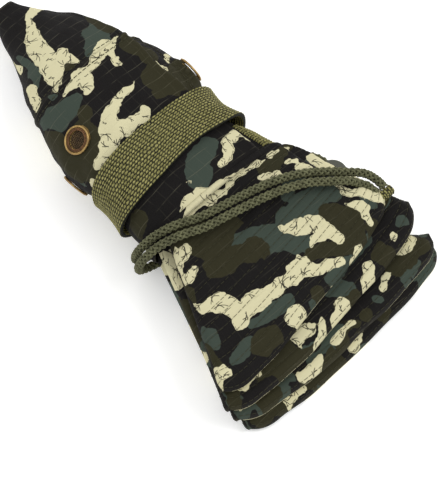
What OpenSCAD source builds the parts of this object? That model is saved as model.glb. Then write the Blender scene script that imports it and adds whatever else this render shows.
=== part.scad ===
// Boonie hat folded shut like an umbrella: the crown makes a tapered cone, the brim a fan of stacked
// leaves, and the hat's own chin cord is wound once round the waist. The tip points to -X, the rim to +X,
// and the underside lies on Z = 0.

/* [Crown] */
// Length from the tip to the seam between crown and brim
crown_len = 154; // [130:1:180]
// Width of the folded crown, the unit of its outline
crown_w = 80; // [66:1:96]
// Height of the folded crown at its thickest
crown_h = 54; // [46:1:64]
// Thickness of the crown's cloth with its lining
crown_t = 2.2; // [1.6:0.1:2.6]
// Distance from the tip to the seam between top panel and wall
top_panel_len = 60; // [48:1:68]
// Width of the sweatband
sweatband_w = 22; // [18:1:26]
// Thickness of the sweatband
sweatband_t = 1.6; // [1:0.1:1.8]

/* [Webbing] */
// Width of the webbing band
band_w = 25; // [20:1:26]
// Thickness of the webbing
band_t = 1.8; // [1.2:0.1:2.2]
// Distance from the tip to the band's upper edge
band_x = 107; // [106:1:108]
// How far the band's lower edge stands off the crown
band_lift = 1.6; // [0:0.1:2]
// Length of the webbing's folded end
tail_len = 19; // [15:1:20]

/* [Eyelets] */
// Outer diameter of an eyelet's flange
eyelet_od = 15; // [12:0.5:15]
// Diameter of an eyelet's gauze
gauze_d = 9; // [7:0.5:9.5]
// Thickness of an eyelet's brass
brass_t = 0.8; // [0.5:0.1:1]

/* [Brim] */
// Length of the folded brim, from its seam to its furthest rim
brim_len = 98; // [82:1:116]
// Width of the folded brim's fan
brim_w = 140; // [120:1:160]
// Thickness of the quilted brim cloth
brim_t = 2.6; // [2:0.1:3]
// Height of the stack of leaves at the seam
stack_h = 47; // [42:0.5:52]
// Height of the stack of leaves at the rim
rim_h = 32; // [28:0.5:36]

/* [Chin cord] */
// Diameter of the braided cord
cord_d = 5; // [4:0.1:5.1]

/* [Cord lock] */
// Outer diameter of the lock's barrel
lock_d = 15.2; // [15:0.1:16]
// How far the button travels
button_travel = 2; // [1.5:0.1:2.5]
// Wire diameter of the lock's spring
wire_d = 0.6; // [0.4:0.1:0.7]

/* [Fits] */
// Gap between cloth pieces that lie on each other
cloth_gap = 0.3; // [0.2:0.05:0.5]
// Gap between the brim's leaves
leaf_gap = 0.6; // [0.3:0.1:0.8]
// Radial gap of the button in its barrel, and of a gauze or washer in its eyelet
fit_gap = 0.06; // [0.03:0.01:0.1]

/* [Hidden] */
$fn = 48;

// Half of the whole length, so that the origin lies at the middle of the underside
middle_x = (crown_len + brim_len) / 2;
// Side shift that brings the fan's middle to Y = 0
middle_y = -0.01 * brim_w;

// Outline of the folded crown: [share of its length, left side and right side in shares of crown_w,
// underside and top in shares of crown_h]
CROWN = [
    [0.00, -0.155, -0.040, 0.12, 0.22],
    [0.03, -0.200, 0.020, 0.09, 0.30],
    [0.13, -0.270, 0.125, 0.05, 0.45],
    [0.26, -0.370, 0.275, 0.02, 0.67],
    [0.40, -0.465, 0.380, 0.00, 0.84],
    [0.60, -0.550, 0.435, 0.01, 0.96],
    [0.70, -0.550, 0.430, 0.045, 0.99],
    [0.80, -0.540, 0.430, 0.068, 1.00],
    [1.00, -0.550, 0.510, 0.15, 0.89]
];
// Squareness of the crown's cross-section, where 2 is an ellipse
crown_square = 2.4;
// Space that the crown's pleats leave for the eyelets' backs and the sweatband
pleat_inset = crown_t + sweatband_t + 2 * cloth_gap + 0.2;
// Brim seam, just past the crown's end
seam_x = crown_len + cloth_gap;

// Each eyelet: [distance from the tip, angle round the crown]
EYELETS = [[90, 136], [97, 198], [93, 8], [93, 335]];
// Angles of the seams between the wall's two panels
PANEL_SEAMS = [28, 224];

// Corners of each brim leaf, top leaf first: left and right ends of its seam in shares of crown_w; then X and Y
// of the rim's left corner and of its right corner, in shares of brim_len and brim_w; then the rim's bow in mm
LEAVES = [
    [-0.440, 0.440, 0.84, -0.505, 0.610, 0.400, 3],
    [-0.510, 0.510, 0.90, -0.490, 0.735, 0.480, 5],
    [-0.520, 0.470, 0.935, -0.470, 0.820, 0.485, 8],
    [-0.480, 0.450, 0.96, -0.445, 0.835, 0.485, 9]
];
// Power of the curve that each leaf's right edge follows from seam to rim
EDGE_CURVE = [1, 0.6, 2.2, 2.2];
// The line about which the upper leaves lift, by X at two places across
fold_left = [seam_x + 9, -52];
fold_right = [seam_x + 56, 62];
// Gap between the still part and the lifting part of a leaf
fold_gap = 1;
// Height that the bottom leaf keeps from the ground at its seam, where the cord passes under it
arch_h = 8;
// Share of the brim's length over which the arch runs out, so that the rim lies flat
arch_run = 0.62;
// Share of the brim's length over which the stack thins to its height at the rim
thin_run = 0.84;
// How much lower the stack's sides are than its middle at the seam, the share of the brim's length over which
// that runs out, and the most that it grows to, beyond the sides
seam_droop = 6;
droop_run = 0.62;
droop_most = 1.6;
// Distance from the middle, in shares of crown_w, where the droop is full
droop_reach = 0.56;
// Where the highest line of the stack lies
ridge_y = -2;

// Route of each strand of the chin cord, from the anchor over the top, round the left side and underneath
// to the lock and the knot
STRAND_A = [
    [205.5, 63, 32.5], [200, 63, 32.5], [194.1, 60.5, 34], [189, 53.2, 38], [183.5, 44, 42.8],
    [177.5, 33, 46.8], [172.5, 20, 49], [169, 6, 50.2], [166, -8, 50.6], [163, -20, 50.4], [158, -31, 49.4],
    [154, -40, 44.6], [150.8, -46.3, 35.6], [148, -48.5, 24.5], [146, -47.5, 13], [145.8, -41.5, 6],
    [147, -32, 3.2], [148.6, -20, 3.2], [150.2, -6, 3.2], [151.4, 8, 3.2], [151.8, 22, 3.2], [152.5, 34, 3.2],
    [152.6, 41, 3.4], [153.5, 47, 4.4], [156.5, 52.6, 5.8], [161, 56.8, 7.2], [167.8, 58.7, 8.3],
    [180, 58.7, 8.3], [191.5, 58.7, 8.3], [196, 60.8, 6.8], [199.2, 61.1, 6.5]
];
STRAND_B = [
    [205.5, 57.6, 32.5], [200, 57.6, 32.5], [197, 55, 34.4], [193.5, 49.8, 40], [189, 41.3, 44.2],
    [183, 31.5, 47], [178, 18.5, 48.8], [174.4, 4.5, 49.8], [171.2, -9.5, 50], [168.2, -21.5, 49.4],
    [163.2, -33, 48.6], [158.8, -43.4, 43.6], [155.8, -50, 34.3], [153.3, -51.7, 23], [151.3, -49.5, 12.5],
    [151, -42.5, 5.8], [152.2, -32, 3.2], [153.8, -20, 3.2], [155.4, -6, 3.2], [156.6, 8, 3.2],
    [157.3, 22, 3.2], [158, 34, 3.2], [158.2, 41, 3.6], [158.9, 45.6, 4.6], [160.7, 49.4, 6],
    [163.6, 52.2, 7.4], [168, 53.3, 8.3], [180, 53.3, 8.3], [191.5, 53.3, 8.3], [196, 55.4, 6.8],
    [199.2, 55.7, 6.5]
];

// Cord lock: its place, the height of its channel and its inner sizes
lock_x = 176.5;
lock_y = 56;
lock_floor = 0.2;
lock_wall = 1.2;
button_d = lock_d - 2 * lock_wall - 2 * fit_gap - 0.1;
spring_h = 3.5;
cord_z = 8.3;
// How far apart the two strands run through the lock
strand_apart = 5.4;
channel_w = strand_apart + cord_d + 0.5;
channel_h = cord_d + 0.6;
lock_top = cord_z + channel_h / 2 + 1.9;
spring_z = lock_floor + lock_wall;
button_z = spring_z + spring_h;

// Knot: place, radius and length
knot_x = 199.6;
knot_y = 58.5;
knot_z = 6.4;
knot_r = 6.2;
knot_l = 10;

// Interpolation

function mix(a, b, t) = a + (b - a) * t;
function power(v, p) = sign(v) * pow(abs(v), p);
function row(table, t, i = 0) = i >= len(table) - 2 || t < table[i + 1][0] ? i : row(table, t, i + 1);
function slope(table, i, k) =
    let (a = max(i - 1, 0), b = min(i + 1, len(table) - 1)) (table[b][k] - table[a][k]) / (table[b][0] - table[a][0]);
// A smooth curve through column k of a table
function along(table, t, k) =
    let (
        i = row(table, t),
        h = table[i + 1][0] - table[i][0],
        s = (t - table[i][0]) / h,
        a = table[i][k],
        b = table[i + 1][k]
    )
    (2 * s ^ 3 - 3 * s ^ 2 + 1) * a + (s ^ 3 - 2 * s ^ 2 + s) * h * slope(table, i, k)
        + (3 * s ^ 2 - 2 * s ^ 3) * b + (s ^ 3 - s ^ 2) * h * slope(table, i + 1, k);

// From distances along the bundle to the model's own frame
function placed(p) = [p[0] - middle_x, p[1] - middle_y, p[2]];

// A point on the crown: distance from the tip, angle round it from the right side over the top, depth under the cloth
function crown_point(x, turn, inset) =
    let (
        t = x / crown_len,
        left = crown_w * along(CROWN, t, 1) + inset,
        right = crown_w * along(CROWN, t, 2) - inset,
        low = crown_h * along(CROWN, t, 3) + inset,
        high = crown_h * along(CROWN, t, 4) - inset
    )
    placed([
        x,
        (left + right) / 2 + (right - left) / 2 * power(cos(turn), 2 / crown_square),
        (low + high) / 2 + (high - low) / 2 * power(sin(turn), 2 / crown_square)
    ]);
function unit(v) = v / norm(v);
function crown_normal(x, turn) =
    unit(cross(
        crown_point(x + 1, turn, 0) - crown_point(x - 1, turn, 0),
        crown_point(x, turn - 1, 0) - crown_point(x, turn + 1, 0)
    ));

// Solids from grids of points

// Quads between two neighbouring rows of a grid, turned over when flip is true
function quads(rows, cols, first, flip, wrap = false) = [
    for (i = [0 : rows - 2], j = [0 : wrap ? cols - 1 : cols - 2])
        let (
            a = first + i * cols + j,
            b = first + i * cols + (j + 1) % cols,
            c = b + cols,
            d = a + cols
        )
        each (flip ? [[a, b, c], [a, c, d]] : [[c, b, a], [d, c, a]])
];
// Triangles between two equal runs of points
function strip(a, b) = [
    for (k = [0 : len(a) - 2]) each [[a[k], a[k + 1], b[k + 1]], [a[k], b[k + 1], b[k]]]
];
function flat(grid) = [for (line = grid) each line];
function span(first, last, steps) = [for (k = [0 : steps]) mix(first, last, k / steps)];

// A sheet of cloth between an outer and an inner grid of the same size
module cloth(outer, inner) {
    rows = len(outer);
    cols = len(outer[0]);
    n = rows * cols;
    top = [for (j = [0 : cols - 1]) j];
    bottom = [for (j = [0 : cols - 1]) (rows - 1) * cols + j];
    start = [for (i = [0 : rows - 1]) i * cols];
    end = [for (i = [0 : rows - 1]) i * cols + cols - 1];
    polyhedron(
        points = concat(flat(outer), flat(inner)),
        faces = concat(
            quads(rows, cols, 0, false),
            quads(rows, cols, n, true),
            strip(top, [for (k = top) k + n]),
            strip([for (k = bottom) k + n], bottom),
            strip([for (k = start) k + n], start),
            strip(end, [for (k = end) k + n])
        )
    );
}
// A sleeve between two grids whose rows are closed rings; a nose closes its first ring
module sleeve(outer, inner, nose = false) {
    rows = len(outer);
    cols = len(outer[0]);
    n = rows * cols;
    last = (rows - 1) * cols;
    polyhedron(
        points = concat(flat(outer), flat(inner)),
        faces = concat(
            quads(rows, cols, 0, false, true),
            quads(rows, cols, n, true, true),
            nose ? [[for (j = [0 : cols - 1]) j], [for (j = [cols - 1 : -1 : 0]) n + j]]
                : [for (j = [0 : cols - 1]) each [
                    [j, (j + 1) % cols, n + (j + 1) % cols], [j, n + (j + 1) % cols, n + j]]],
            [for (j = [0 : cols - 1]) each [
                [last + (j + 1) % cols, last + j, n + last + j],
                [last + (j + 1) % cols, n + last + j, n + last + (j + 1) % cols]]]
        )
    );
}
// A solid whose rows are closed flat rings
module loft(rings) {
    rows = len(rings);
    cols = len(rings[0]);
    polyhedron(
        points = flat(rings),
        faces = concat(
            quads(rows, cols, 0, false, true),
            [[for (j = [0 : cols - 1]) j]],
            [[for (j = [cols - 1 : -1 : 0]) (rows - 1) * cols + j]]
        )
    );
}

// Crown

function crown_grid(xs, turns, inset) = [for (x = xs) [for (a = turns) crown_point(x, a, inset)]];
ring_turns = [for (k = [0 : 39]) k * 9];
wall_xs = span(top_panel_len + cloth_gap, crown_len, 9);
// Angle that keeps the two wall panels apart at their side seams
seam_turn = 0.4;

module crown_top_panel() {
    outer_xs = concat([0, 1.5, 4, 9], span(16, top_panel_len, 5));
    inner_xs = concat([6, 7, 9, 12], span(17, top_panel_len, 5));
    color("darkolivegreen") sleeve(
        crown_grid(outer_xs, ring_turns, 0),
        crown_grid(inner_xs, ring_turns, crown_t),
        nose = true
    );
}

module wall_panel(first_turn, last_turn, eyelets) {
    turns = span(first_turn + seam_turn, last_turn - seam_turn, 20);
    color("darkolivegreen") difference() {
        cloth(crown_grid(wall_xs, turns, 0), crown_grid(wall_xs, turns, crown_t));
        for (i = eyelets) on_crown(i) eyelet_seat();
    }
}
module crown_wall_upper() {
    wall_panel(PANEL_SEAMS[0], PANEL_SEAMS[1], [0, 1]);
}
module crown_wall_lower() {
    wall_panel(PANEL_SEAMS[1], PANEL_SEAMS[0] + 360, [2, 3]);
}

// One half of the folded cloth inside the crown, flat where the halves meet
module pleat(first_turn) {
    turns = span(first_turn, first_turn + 180, 16);
    rise = first_turn == 0 ? cloth_gap / 2 : -cloth_gap / 2;
    color("darkslategray") loft([
        for (x = span(18, crown_len - 1, 10)) [
            for (a = turns) crown_point(x, a, pleat_inset) + [0, 0, rise]
        ]
    ]);
}
module crown_pleat_upper() {
    pleat(0);
}
module crown_pleat_lower() {
    pleat(180);
}

module sweatband() {
    xs = span(crown_len - sweatband_w - 2, crown_len - 2, 3);
    depth = crown_t + cloth_gap;
    color("black") sleeve(crown_grid(xs, ring_turns, depth), crown_grid(xs, ring_turns, depth + sweatband_t));
}

// Webbing

// The band's distance from the crown grows towards its lower edge
function band_grid(out) = [
    for (k = [0 : 4])
        let (off = cloth_gap + out + band_lift * pow(k / 4, 2))
        [for (a = ring_turns) crown_point(band_x + band_w * k / 4, a, -off)]
];
module webbing_band() {
    color("olive") sleeve(band_grid(band_t), band_grid(0));
}
module webbing_tail() {
    xs = span(band_x + band_w + cloth_gap, band_x + band_w + cloth_gap + tail_len, 3);
    turns = span(6, 34, 8);
    color("olive") cloth(
        crown_grid(xs, turns, -cloth_gap - band_t),
        crown_grid(xs, turns, -cloth_gap)
    );
}
// Two rows of dense stitching that hold the band's overlap, on its far side
module band_bartacks() {
    bar_w = 2;
    color("darkolivegreen") for (turn = [348, 356]) {
        xs = span(band_x + 5, band_x + band_w - 5, 3);
        turns = [turn, turn + bar_w / 1.2];
        lift = cloth_gap + band_t + band_lift + 0.05;
        cloth(crown_grid(xs, turns, -lift - 0.6), crown_grid(xs, turns, -lift));
    }
}

// Eyelets, each set along the crown's own normal

barrel_r = gauze_d / 2 + fit_gap + brass_t;
washer_z = -crown_t * 1.2;
barrel_end = washer_z - brass_t - 0.4;
// Depth of the eyelet's gauze under its flange
gauze_z = -0.6;

module on_crown(i) {
    n = crown_normal(EYELETS[i][0], EYELETS[i][1]);
    translate(crown_point(EYELETS[i][0], EYELETS[i][1], -0.05))
        rotate([0, acos(n[2]), atan2(n[1], n[0])]) children();
}
// What the eyelet takes out of the cloth: its hole, and flat seats for flange and washer
module eyelet_seat() {
    deep = 6;
    translate([0, 0, -deep]) cylinder(h = 2 * deep, r = barrel_r + 2 * fit_gap);
    cylinder(h = deep, r = eyelet_od / 2 + cloth_gap);
    translate([0, 0, washer_z - deep]) cylinder(h = deep, r = eyelet_od / 2 + cloth_gap);
}
module eyelet_ring(i) {
    bore_r = gauze_d / 2 + fit_gap;
    color("sienna") on_crown(i) rotate_extrude() {
        difference() {
            translate([(bore_r + eyelet_od / 2) / 2, 0])
                scale([1, 0.45]) circle(d = eyelet_od / 2 - bore_r);
            translate([0, -5]) square([eyelet_od, 5]);
        }
        translate([bore_r, barrel_end]) square([brass_t, -barrel_end + 0.3]);
    }
}
module eyelet_gauze(i) {
    color("saddlebrown") on_crown(i) translate([0, 0, gauze_z]) cylinder(h = 0.4, d = gauze_d);
}
module eyelet_washer(i) {
    color("peru") on_crown(i) translate([0, 0, washer_z - brass_t]) difference() {
        cylinder(h = brass_t - 0.05, d = eyelet_od - 1);
        translate([0, 0, -1]) cylinder(h = brass_t + 2, r = barrel_r + fit_gap);
    }
}

// Brim

function stack_base(x) = arch_h * max(0, 1 - (x - seam_x) / (brim_len * arch_run));
function stack_top(x, y) =
    let (
        t = (x - seam_x) / brim_len,
        side = pow(abs(y - ridge_y) / (droop_reach * crown_w), 3),
        droop = seam_droop * max(0, 1 - t / droop_run) * min(droop_most, side)
    )
    mix(stack_h, rim_h, min(1, t / thin_run)) - droop;
// Height of a leaf's upper (side 0) or lower (side 1) face, counted from the top leaf
function leaf_z(leaf, side, x, y) =
    let (base = stack_base(x), pitch = (stack_top(x, y) - base) / len(LEAVES))
    base + (len(LEAVES) - leaf - side) * pitch + (side == 0 ? -1 : 1) * (leaf == 3 && side == 1 ? 0 : leaf_gap / 2);

// A point of the fold line at a distance across, moved off the line towards the rim
function on_fold(y, off) =
    let (run = fold_right - fold_left, across = unit([run[1], -run[0]]))
    [fold_left[0] + (y - fold_left[1]) * run[0] / run[1], y] + off * across;

function edge(from, to, v, curve) = [mix(from[0], to[0], v), mix(from[1], to[1], pow(v, curve))];

// One leaf, or one part of it, as a sheet folded over at its left edge: ends is [left and right start, left and
// right end], and depth is 0 on its outer face and brim_t on its inner one
function leaf_line(leaf, ends, bow, curve, v, depth) =
    let (
        left = edge(ends[0], ends[2], v, 1),
        right = edge(ends[1], ends[3], v, curve),
        across = unit(right - left),
        turn_r = (leaf_z(leaf, 0, left[0], left[1]) - leaf_z(leaf, 1, left[0], left[1]) - leaf_gap / 2) / 2,
        inner_left = left + across * turn_r,
        mid_z = (leaf_z(leaf, 0, left[0], left[1]) + leaf_z(leaf, 1, left[0], left[1])) / 2,
        us = span(1, 0, 9)
    )
    concat(
        [for (u = us) let (p = mix(inner_left, right, u) + [4 * u * (1 - u) * bow * v, 0])
            placed([p[0], p[1], leaf_z(leaf, 0, p[0], p[1]) - depth])],
        [for (a = [120 : 30 : 240]) let (p = inner_left + across * (turn_r - depth) * cos(a))
            placed([p[0], p[1], mid_z + (turn_r - depth) * sin(a)])],
        [for (u = [9 : -1 : 0]) let (p = mix(inner_left, right, us[u]) + [4 * us[u] * (1 - us[u]) * bow * v, 0])
            placed([p[0], p[1], leaf_z(leaf, 1, p[0], p[1]) + depth])]
    );
module leaf_part(leaf, ends, bow, curve, steps) {
    color("darkolivegreen") cloth(
        [for (v = span(0, 1, steps)) leaf_line(leaf, ends, bow, curve, v, 0)],
        [for (v = span(0, 1, steps)) leaf_line(leaf, ends, bow, curve, v, brim_t)]
    );
}
function seam_end(leaf, k) = [seam_x, crown_w * LEAVES[leaf][k]];
function rim_end(leaf, k) = [seam_x + brim_len * LEAVES[leaf][k], brim_w * LEAVES[leaf][k + 1]];
// Where the fold line meets a leaf's left and right edge
FOLD_Y = [[-50, 53], [-55.5, 65.5]];

module leaf_root(leaf) {
    leaf_part(leaf, [
        seam_end(leaf, 0), seam_end(leaf, 1), on_fold(FOLD_Y[leaf][0], 0), on_fold(FOLD_Y[leaf][1], 0)
    ], 0, EDGE_CURVE[leaf], 6);
}
module leaf_flap(leaf) {
    leaf_part(leaf, [
        on_fold(FOLD_Y[leaf][0], fold_gap), on_fold(FOLD_Y[leaf][1], fold_gap), rim_end(leaf, 2), rim_end(leaf, 4)
    ], LEAVES[leaf][6], 1, 6);
}
module whole_leaf(leaf) {
    leaf_part(leaf, [
        seam_end(leaf, 0), seam_end(leaf, 1), rim_end(leaf, 2), rim_end(leaf, 4)
    ], LEAVES[leaf][6], EDGE_CURVE[leaf], 9);
}

// Chin cord

cord_sides = 10;
// A ring of the tube at point i, square to the route
function tube_ring(route, i) =
    let (
        d = unit(route[min(i + 1, len(route) - 1)] - route[max(i - 1, 0)]),
        side = unit(cross(d, abs(d[2]) > 0.9 ? [1, 0, 0] : [0, 0, 1])),
        up = cross(side, d)
    )
    [for (k = [0 : cord_sides - 1]) let (a = 360 * k / cord_sides)
        placed(route[i] + cord_d / 2 * (cos(a) * side + sin(a) * up))];
module tube(route) {
    color("darkkhaki") loft([for (i = [0 : len(route) - 1]) tube_ring(route, i)]);
}
module cord_strand_a() {
    tube(STRAND_A);
}
module cord_strand_b() {
    tube(STRAND_B);
}
// The sewn tab that both strands come out of
module cord_anchor_tab() {
    tab_l = 4;
    tab_w = 2 * cord_d + 1.4;
    x = STRAND_A[0][0] + cloth_gap;
    y = (STRAND_A[0][1] + STRAND_B[0][1]) / 2;
    z = leaf_z(1, 0, x, y) + cloth_gap;
    color("darkolivegreen") translate(placed([x, y - tab_w / 2, z])) cube([tab_l, tab_w, cord_d]);
}
module cord_knot() {
    round_r = 3;
    color("darkkhaki") translate(placed([knot_x, knot_y, knot_z])) rotate([0, 90, 0]) rotate_extrude() {
        square([knot_r - round_r, knot_l]);
        translate([0, round_r]) square([knot_r, knot_l - 2 * round_r]);
        for (z = [round_r, knot_l - round_r]) translate([knot_r - round_r, z]) circle(r = round_r);
    }
}

// Cord lock

module channel(width, low, high) {
    translate([-lock_d, -width / 2, low]) cube([2 * lock_d, width, high - low]);
}
module lock_body() {
    color("dimgray") translate(placed([lock_x, lock_y, 0])) difference() {
        translate([0, 0, lock_floor]) cylinder(h = lock_top - lock_floor, d = lock_d);
        translate([0, 0, spring_z]) cylinder(h = lock_top, d = button_d + 2 * fit_gap);
        channel(channel_w, cord_z - channel_h / 2, cord_z + channel_h / 2);
    }
}
module lock_button() {
    cap_z = cord_z + cord_d / 2 + button_travel + 0.1;
    color("darkgray") translate(placed([lock_x, lock_y, 0])) difference() {
        translate([0, 0, button_z]) cylinder(h = lock_top + button_travel + 0.6 - button_z, d = button_d);
        channel(channel_w, cord_z - channel_h / 2, cap_z);
    }
}
module lock_spring() {
    coil_r = 3.6;
    turns = 3;
    rings = 36;
    sides = 6;
    pitch_h = spring_h - wire_d - 0.1;
    color("silver") translate(placed([lock_x, lock_y, spring_z + wire_d / 2 + 0.05])) loft([
        for (i = [0 : rings]) let (t = i / rings, a = 360 * turns * t) [
            for (k = [0 : sides - 1]) let (b = 360 * k / sides, r = coil_r + wire_d / 2 * cos(b))
                [r * cos(a), r * sin(a), pitch_h * t + wire_d / 2 * sin(b)]
        ]
    ]);
}

crown_top_panel();
crown_wall_upper();
crown_wall_lower();
crown_pleat_upper();
crown_pleat_lower();
sweatband();
webbing_band();
webbing_tail();
band_bartacks();
eyelet_ring(0);  // eyelet_1_ring
eyelet_gauze(0);  // eyelet_1_gauze
eyelet_washer(0);  // eyelet_1_washer
eyelet_ring(1);  // eyelet_2_ring
eyelet_gauze(1);  // eyelet_2_gauze
eyelet_washer(1);  // eyelet_2_washer
eyelet_ring(2);  // eyelet_3_ring
eyelet_gauze(2);  // eyelet_3_gauze
eyelet_washer(2);  // eyelet_3_washer
eyelet_ring(3);  // eyelet_4_ring
eyelet_gauze(3);  // eyelet_4_gauze
eyelet_washer(3);  // eyelet_4_washer
leaf_root(0);  // brim_leaf_1_root
leaf_flap(0);  // brim_leaf_1_flap
leaf_root(1);  // brim_leaf_2_root
leaf_flap(1);  // brim_leaf_2_flap
whole_leaf(2);  // brim_leaf_3
whole_leaf(3);  // brim_leaf_4
cord_strand_a();
cord_strand_b();
cord_anchor_tab();
cord_knot();
lock_body();
lock_button();
lock_spring();
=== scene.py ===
"""Folded camouflage boonie hat, tied with its own chin cord: what it looks like.

Places along the hat are given in mm as (s, y, z): s from the tip towards the rim, y across, z up.
"""
import itertools
import math

import bmesh
import bpy
import numpy as np
from mathutils import Matrix, Vector


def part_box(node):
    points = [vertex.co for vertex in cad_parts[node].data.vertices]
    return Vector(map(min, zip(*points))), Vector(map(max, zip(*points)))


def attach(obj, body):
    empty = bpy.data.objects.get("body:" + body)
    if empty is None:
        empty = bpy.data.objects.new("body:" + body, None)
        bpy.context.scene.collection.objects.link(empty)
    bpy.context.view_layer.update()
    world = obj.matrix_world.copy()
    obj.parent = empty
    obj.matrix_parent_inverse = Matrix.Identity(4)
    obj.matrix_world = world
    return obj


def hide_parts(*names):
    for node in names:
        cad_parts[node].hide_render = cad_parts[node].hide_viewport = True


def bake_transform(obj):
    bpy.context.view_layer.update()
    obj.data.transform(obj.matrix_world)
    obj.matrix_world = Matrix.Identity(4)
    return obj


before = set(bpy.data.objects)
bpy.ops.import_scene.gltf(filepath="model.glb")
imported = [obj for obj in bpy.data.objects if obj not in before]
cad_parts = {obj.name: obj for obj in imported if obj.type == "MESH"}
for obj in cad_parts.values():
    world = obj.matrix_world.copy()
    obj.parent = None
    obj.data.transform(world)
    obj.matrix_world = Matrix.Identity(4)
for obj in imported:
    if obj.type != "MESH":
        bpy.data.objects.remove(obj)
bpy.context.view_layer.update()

MM = 0.001
MIDDLE = np.array([126.0, -1.4, 0.0])  # the frame's origin, in (s, y, z)

# ---------------------------------------------------------------- sizes, in mm

CROWN_LEN, CROWN_W, CROWN_H = 154.0, 80.0, 54.0
TOP_PANEL_LEN = 60.0
CROWN_SQUARE = 2.4
CLOTH_T = 1.1
# share of length, left, right (shares of the width), underside, top (shares of the height)
CROWN = np.array([
    [-0.045, -0.120, -0.010, 0.20, 0.32],
    [0.00, -0.180, 0.030, 0.12, 0.36],
    [0.13, -0.275, 0.165, 0.05, 0.50],
    [0.26, -0.370, 0.300, 0.02, 0.70],
    [0.40, -0.472, 0.415, 0.00, 0.86],
    [0.60, -0.565, 0.450, 0.01, 0.97],
    [0.70, -0.555, 0.425, 0.045, 0.99],
    [0.80, -0.540, 0.405, 0.068, 1.00],
    [1.00, -0.550, 0.510, 0.15, 0.89],
])
PANEL_SEAMS = (28.0, 224.0)

BAND_S, BAND_W, BAND_T = 108.0, 25.0, 1.8
TAIL_LEN = 19.0
EYELETS = [(90.0, 136.0), (97.0, 198.0), (93.0, 8.0), (93.0, 335.0)]  # s, angle round the crown
EYELET_OD, GAUZE_D = 15.0, 9.0

SEAM_S = 154.3
BRIM_LEN, BRIM_W = 98.0, 140.0
BRIM_T = 1.9
STACK_H, RIM_H, ARCH_H, SEAM_DROOP = 47.0, 32.0, 8.0, 6.0
LEAF_GAP = 0.6
EDGE_T = 0.45  # thickness the cloth thins to at its turned rim
RIM_ROLL = (7.0, 6.0, 5.0, 6.0)  # how far in from its edges each leaf's upper sheet starts to come down
# left and right end of the seam (shares of the crown's width), rim left (s, y), rim right (s, y) as shares of
# the brim, bow of the rim in mm, power of the right edge's curve
LEAVES = [
    (-0.440, 0.440, 0.85, -0.500, 0.610, 0.435, 3, 0.9),
    (-0.510, 0.510, 0.915, -0.510, 0.730, 0.500, 5, 0.6),
    (-0.520, 0.470, 0.955, -0.495, 0.885, 0.495, 5, 2.2),
    (-0.480, 0.450, 1.0, -0.472, 0.920, 0.495, 4, 2.2),
]

STRAND_A = [
    (205.5, 63, 32.5), (200, 63, 32.5), (194.1, 60.5, 34), (189, 53.2, 38), (183.5, 44, 42.8),
    (177.5, 33, 46.8), (172.5, 20, 49), (169, 6, 50.2), (166, -8, 50.6), (163, -20, 50.4), (158, -31, 49.4),
    (154, -40, 44.6), (150.8, -46.3, 35.6), (148, -48.5, 24.5), (146, -47.5, 13), (145.8, -41.5, 6),
    (147, -32, 3.2), (148.6, -20, 3.2), (150.2, -6, 3.2), (151.4, 8, 3.2), (151.8, 22, 3.2), (152.5, 34, 3.2),
    (152.6, 41, 3.4), (153.5, 47, 4.4), (156.5, 52.6, 5.8), (161, 56.8, 7.2), (167.8, 58.7, 8.3),
    (180, 58.7, 8.3), (191.5, 58.7, 8.3), (196, 60.8, 6.8), (199.2, 61.1, 6.5),
]
STRAND_B = [
    (205.5, 57.6, 32.5), (200, 57.6, 32.5), (197, 55, 34.4), (193.5, 49.8, 40), (189, 41.3, 44.2),
    (183, 31.5, 47), (178, 18.5, 48.8), (174.4, 4.5, 49.8), (171.2, -9.5, 50), (168.2, -21.5, 49.4),
    (163.2, -33, 48.6), (158.8, -43.4, 43.6), (155.8, -50, 34.3), (153.3, -51.7, 23), (151.3, -49.5, 12.5),
    (151, -42.5, 5.8), (152.2, -32, 3.2), (153.8, -20, 3.2), (155.4, -6, 3.2), (156.6, 8, 3.2),
    (157.3, 22, 3.2), (158, 34, 3.2), (158.2, 41, 3.6), (158.9, 45.6, 4.6), (160.7, 49.4, 6),
    (163.6, 52.2, 7.4), (168, 53.3, 8.3), (180, 53.3, 8.3), (191.5, 53.3, 8.3), (196, 55.4, 6.8),
    (199.2, 55.7, 6.5),
]

# ---------------------------------------------------------------- camera


def make_camera(azimuth, elevation, roll, distance, mm_per_step, aim):
    """aim is how far right of and above the hat's middle the view is centred, in mm."""
    a, e, r = (math.radians(v) for v in (azimuth, elevation, roll))
    back = Vector((math.sin(a) * math.cos(e), -math.cos(a) * math.cos(e), math.sin(e)))
    right = Vector((math.cos(a), math.sin(a), 0))
    up = back.cross(right)
    right, up = right * math.cos(r) + up * math.sin(r), up * math.cos(r) - right * math.sin(r)
    data = bpy.data.cameras.new("camera")
    data.sensor_width = 36
    data.lens = 18 * distance / (250 * mm_per_step)
    data.clip_start, data.clip_end = 0.05, 20
    cam = bpy.data.objects.new("camera", data)
    bpy.context.scene.collection.objects.link(cam)
    cam.location = Vector((0, 0, 0.025)) + back * distance * MM + (right * aim[0] + up * aim[1]) * MM
    cam.rotation_mode = "QUATERNION"
    turn = Matrix((right, up, back)).transposed()
    cam.rotation_quaternion = turn.to_quaternion()
    bpy.context.scene.camera = cam


make_camera(49.6, 66, -1.7, 1500, 0.495, ((219 - 178.7) * 0.495, (165.3 - 250) * 0.495))

# ---------------------------------------------------------------- shape rules


def placed(points):
    """From (s, y, z) in mm to the frame, in metres."""
    return (np.asarray(points, float) - MIDDLE) * MM


def ramp(x, start, end):
    t = np.clip((np.asarray(x, float) - start) / (end - start), 0, 1)
    return t * t * (3 - 2 * t)


def bump(x, middle, width):
    return np.exp(-(((np.asarray(x, float) - middle) / width) ** 2))


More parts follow.
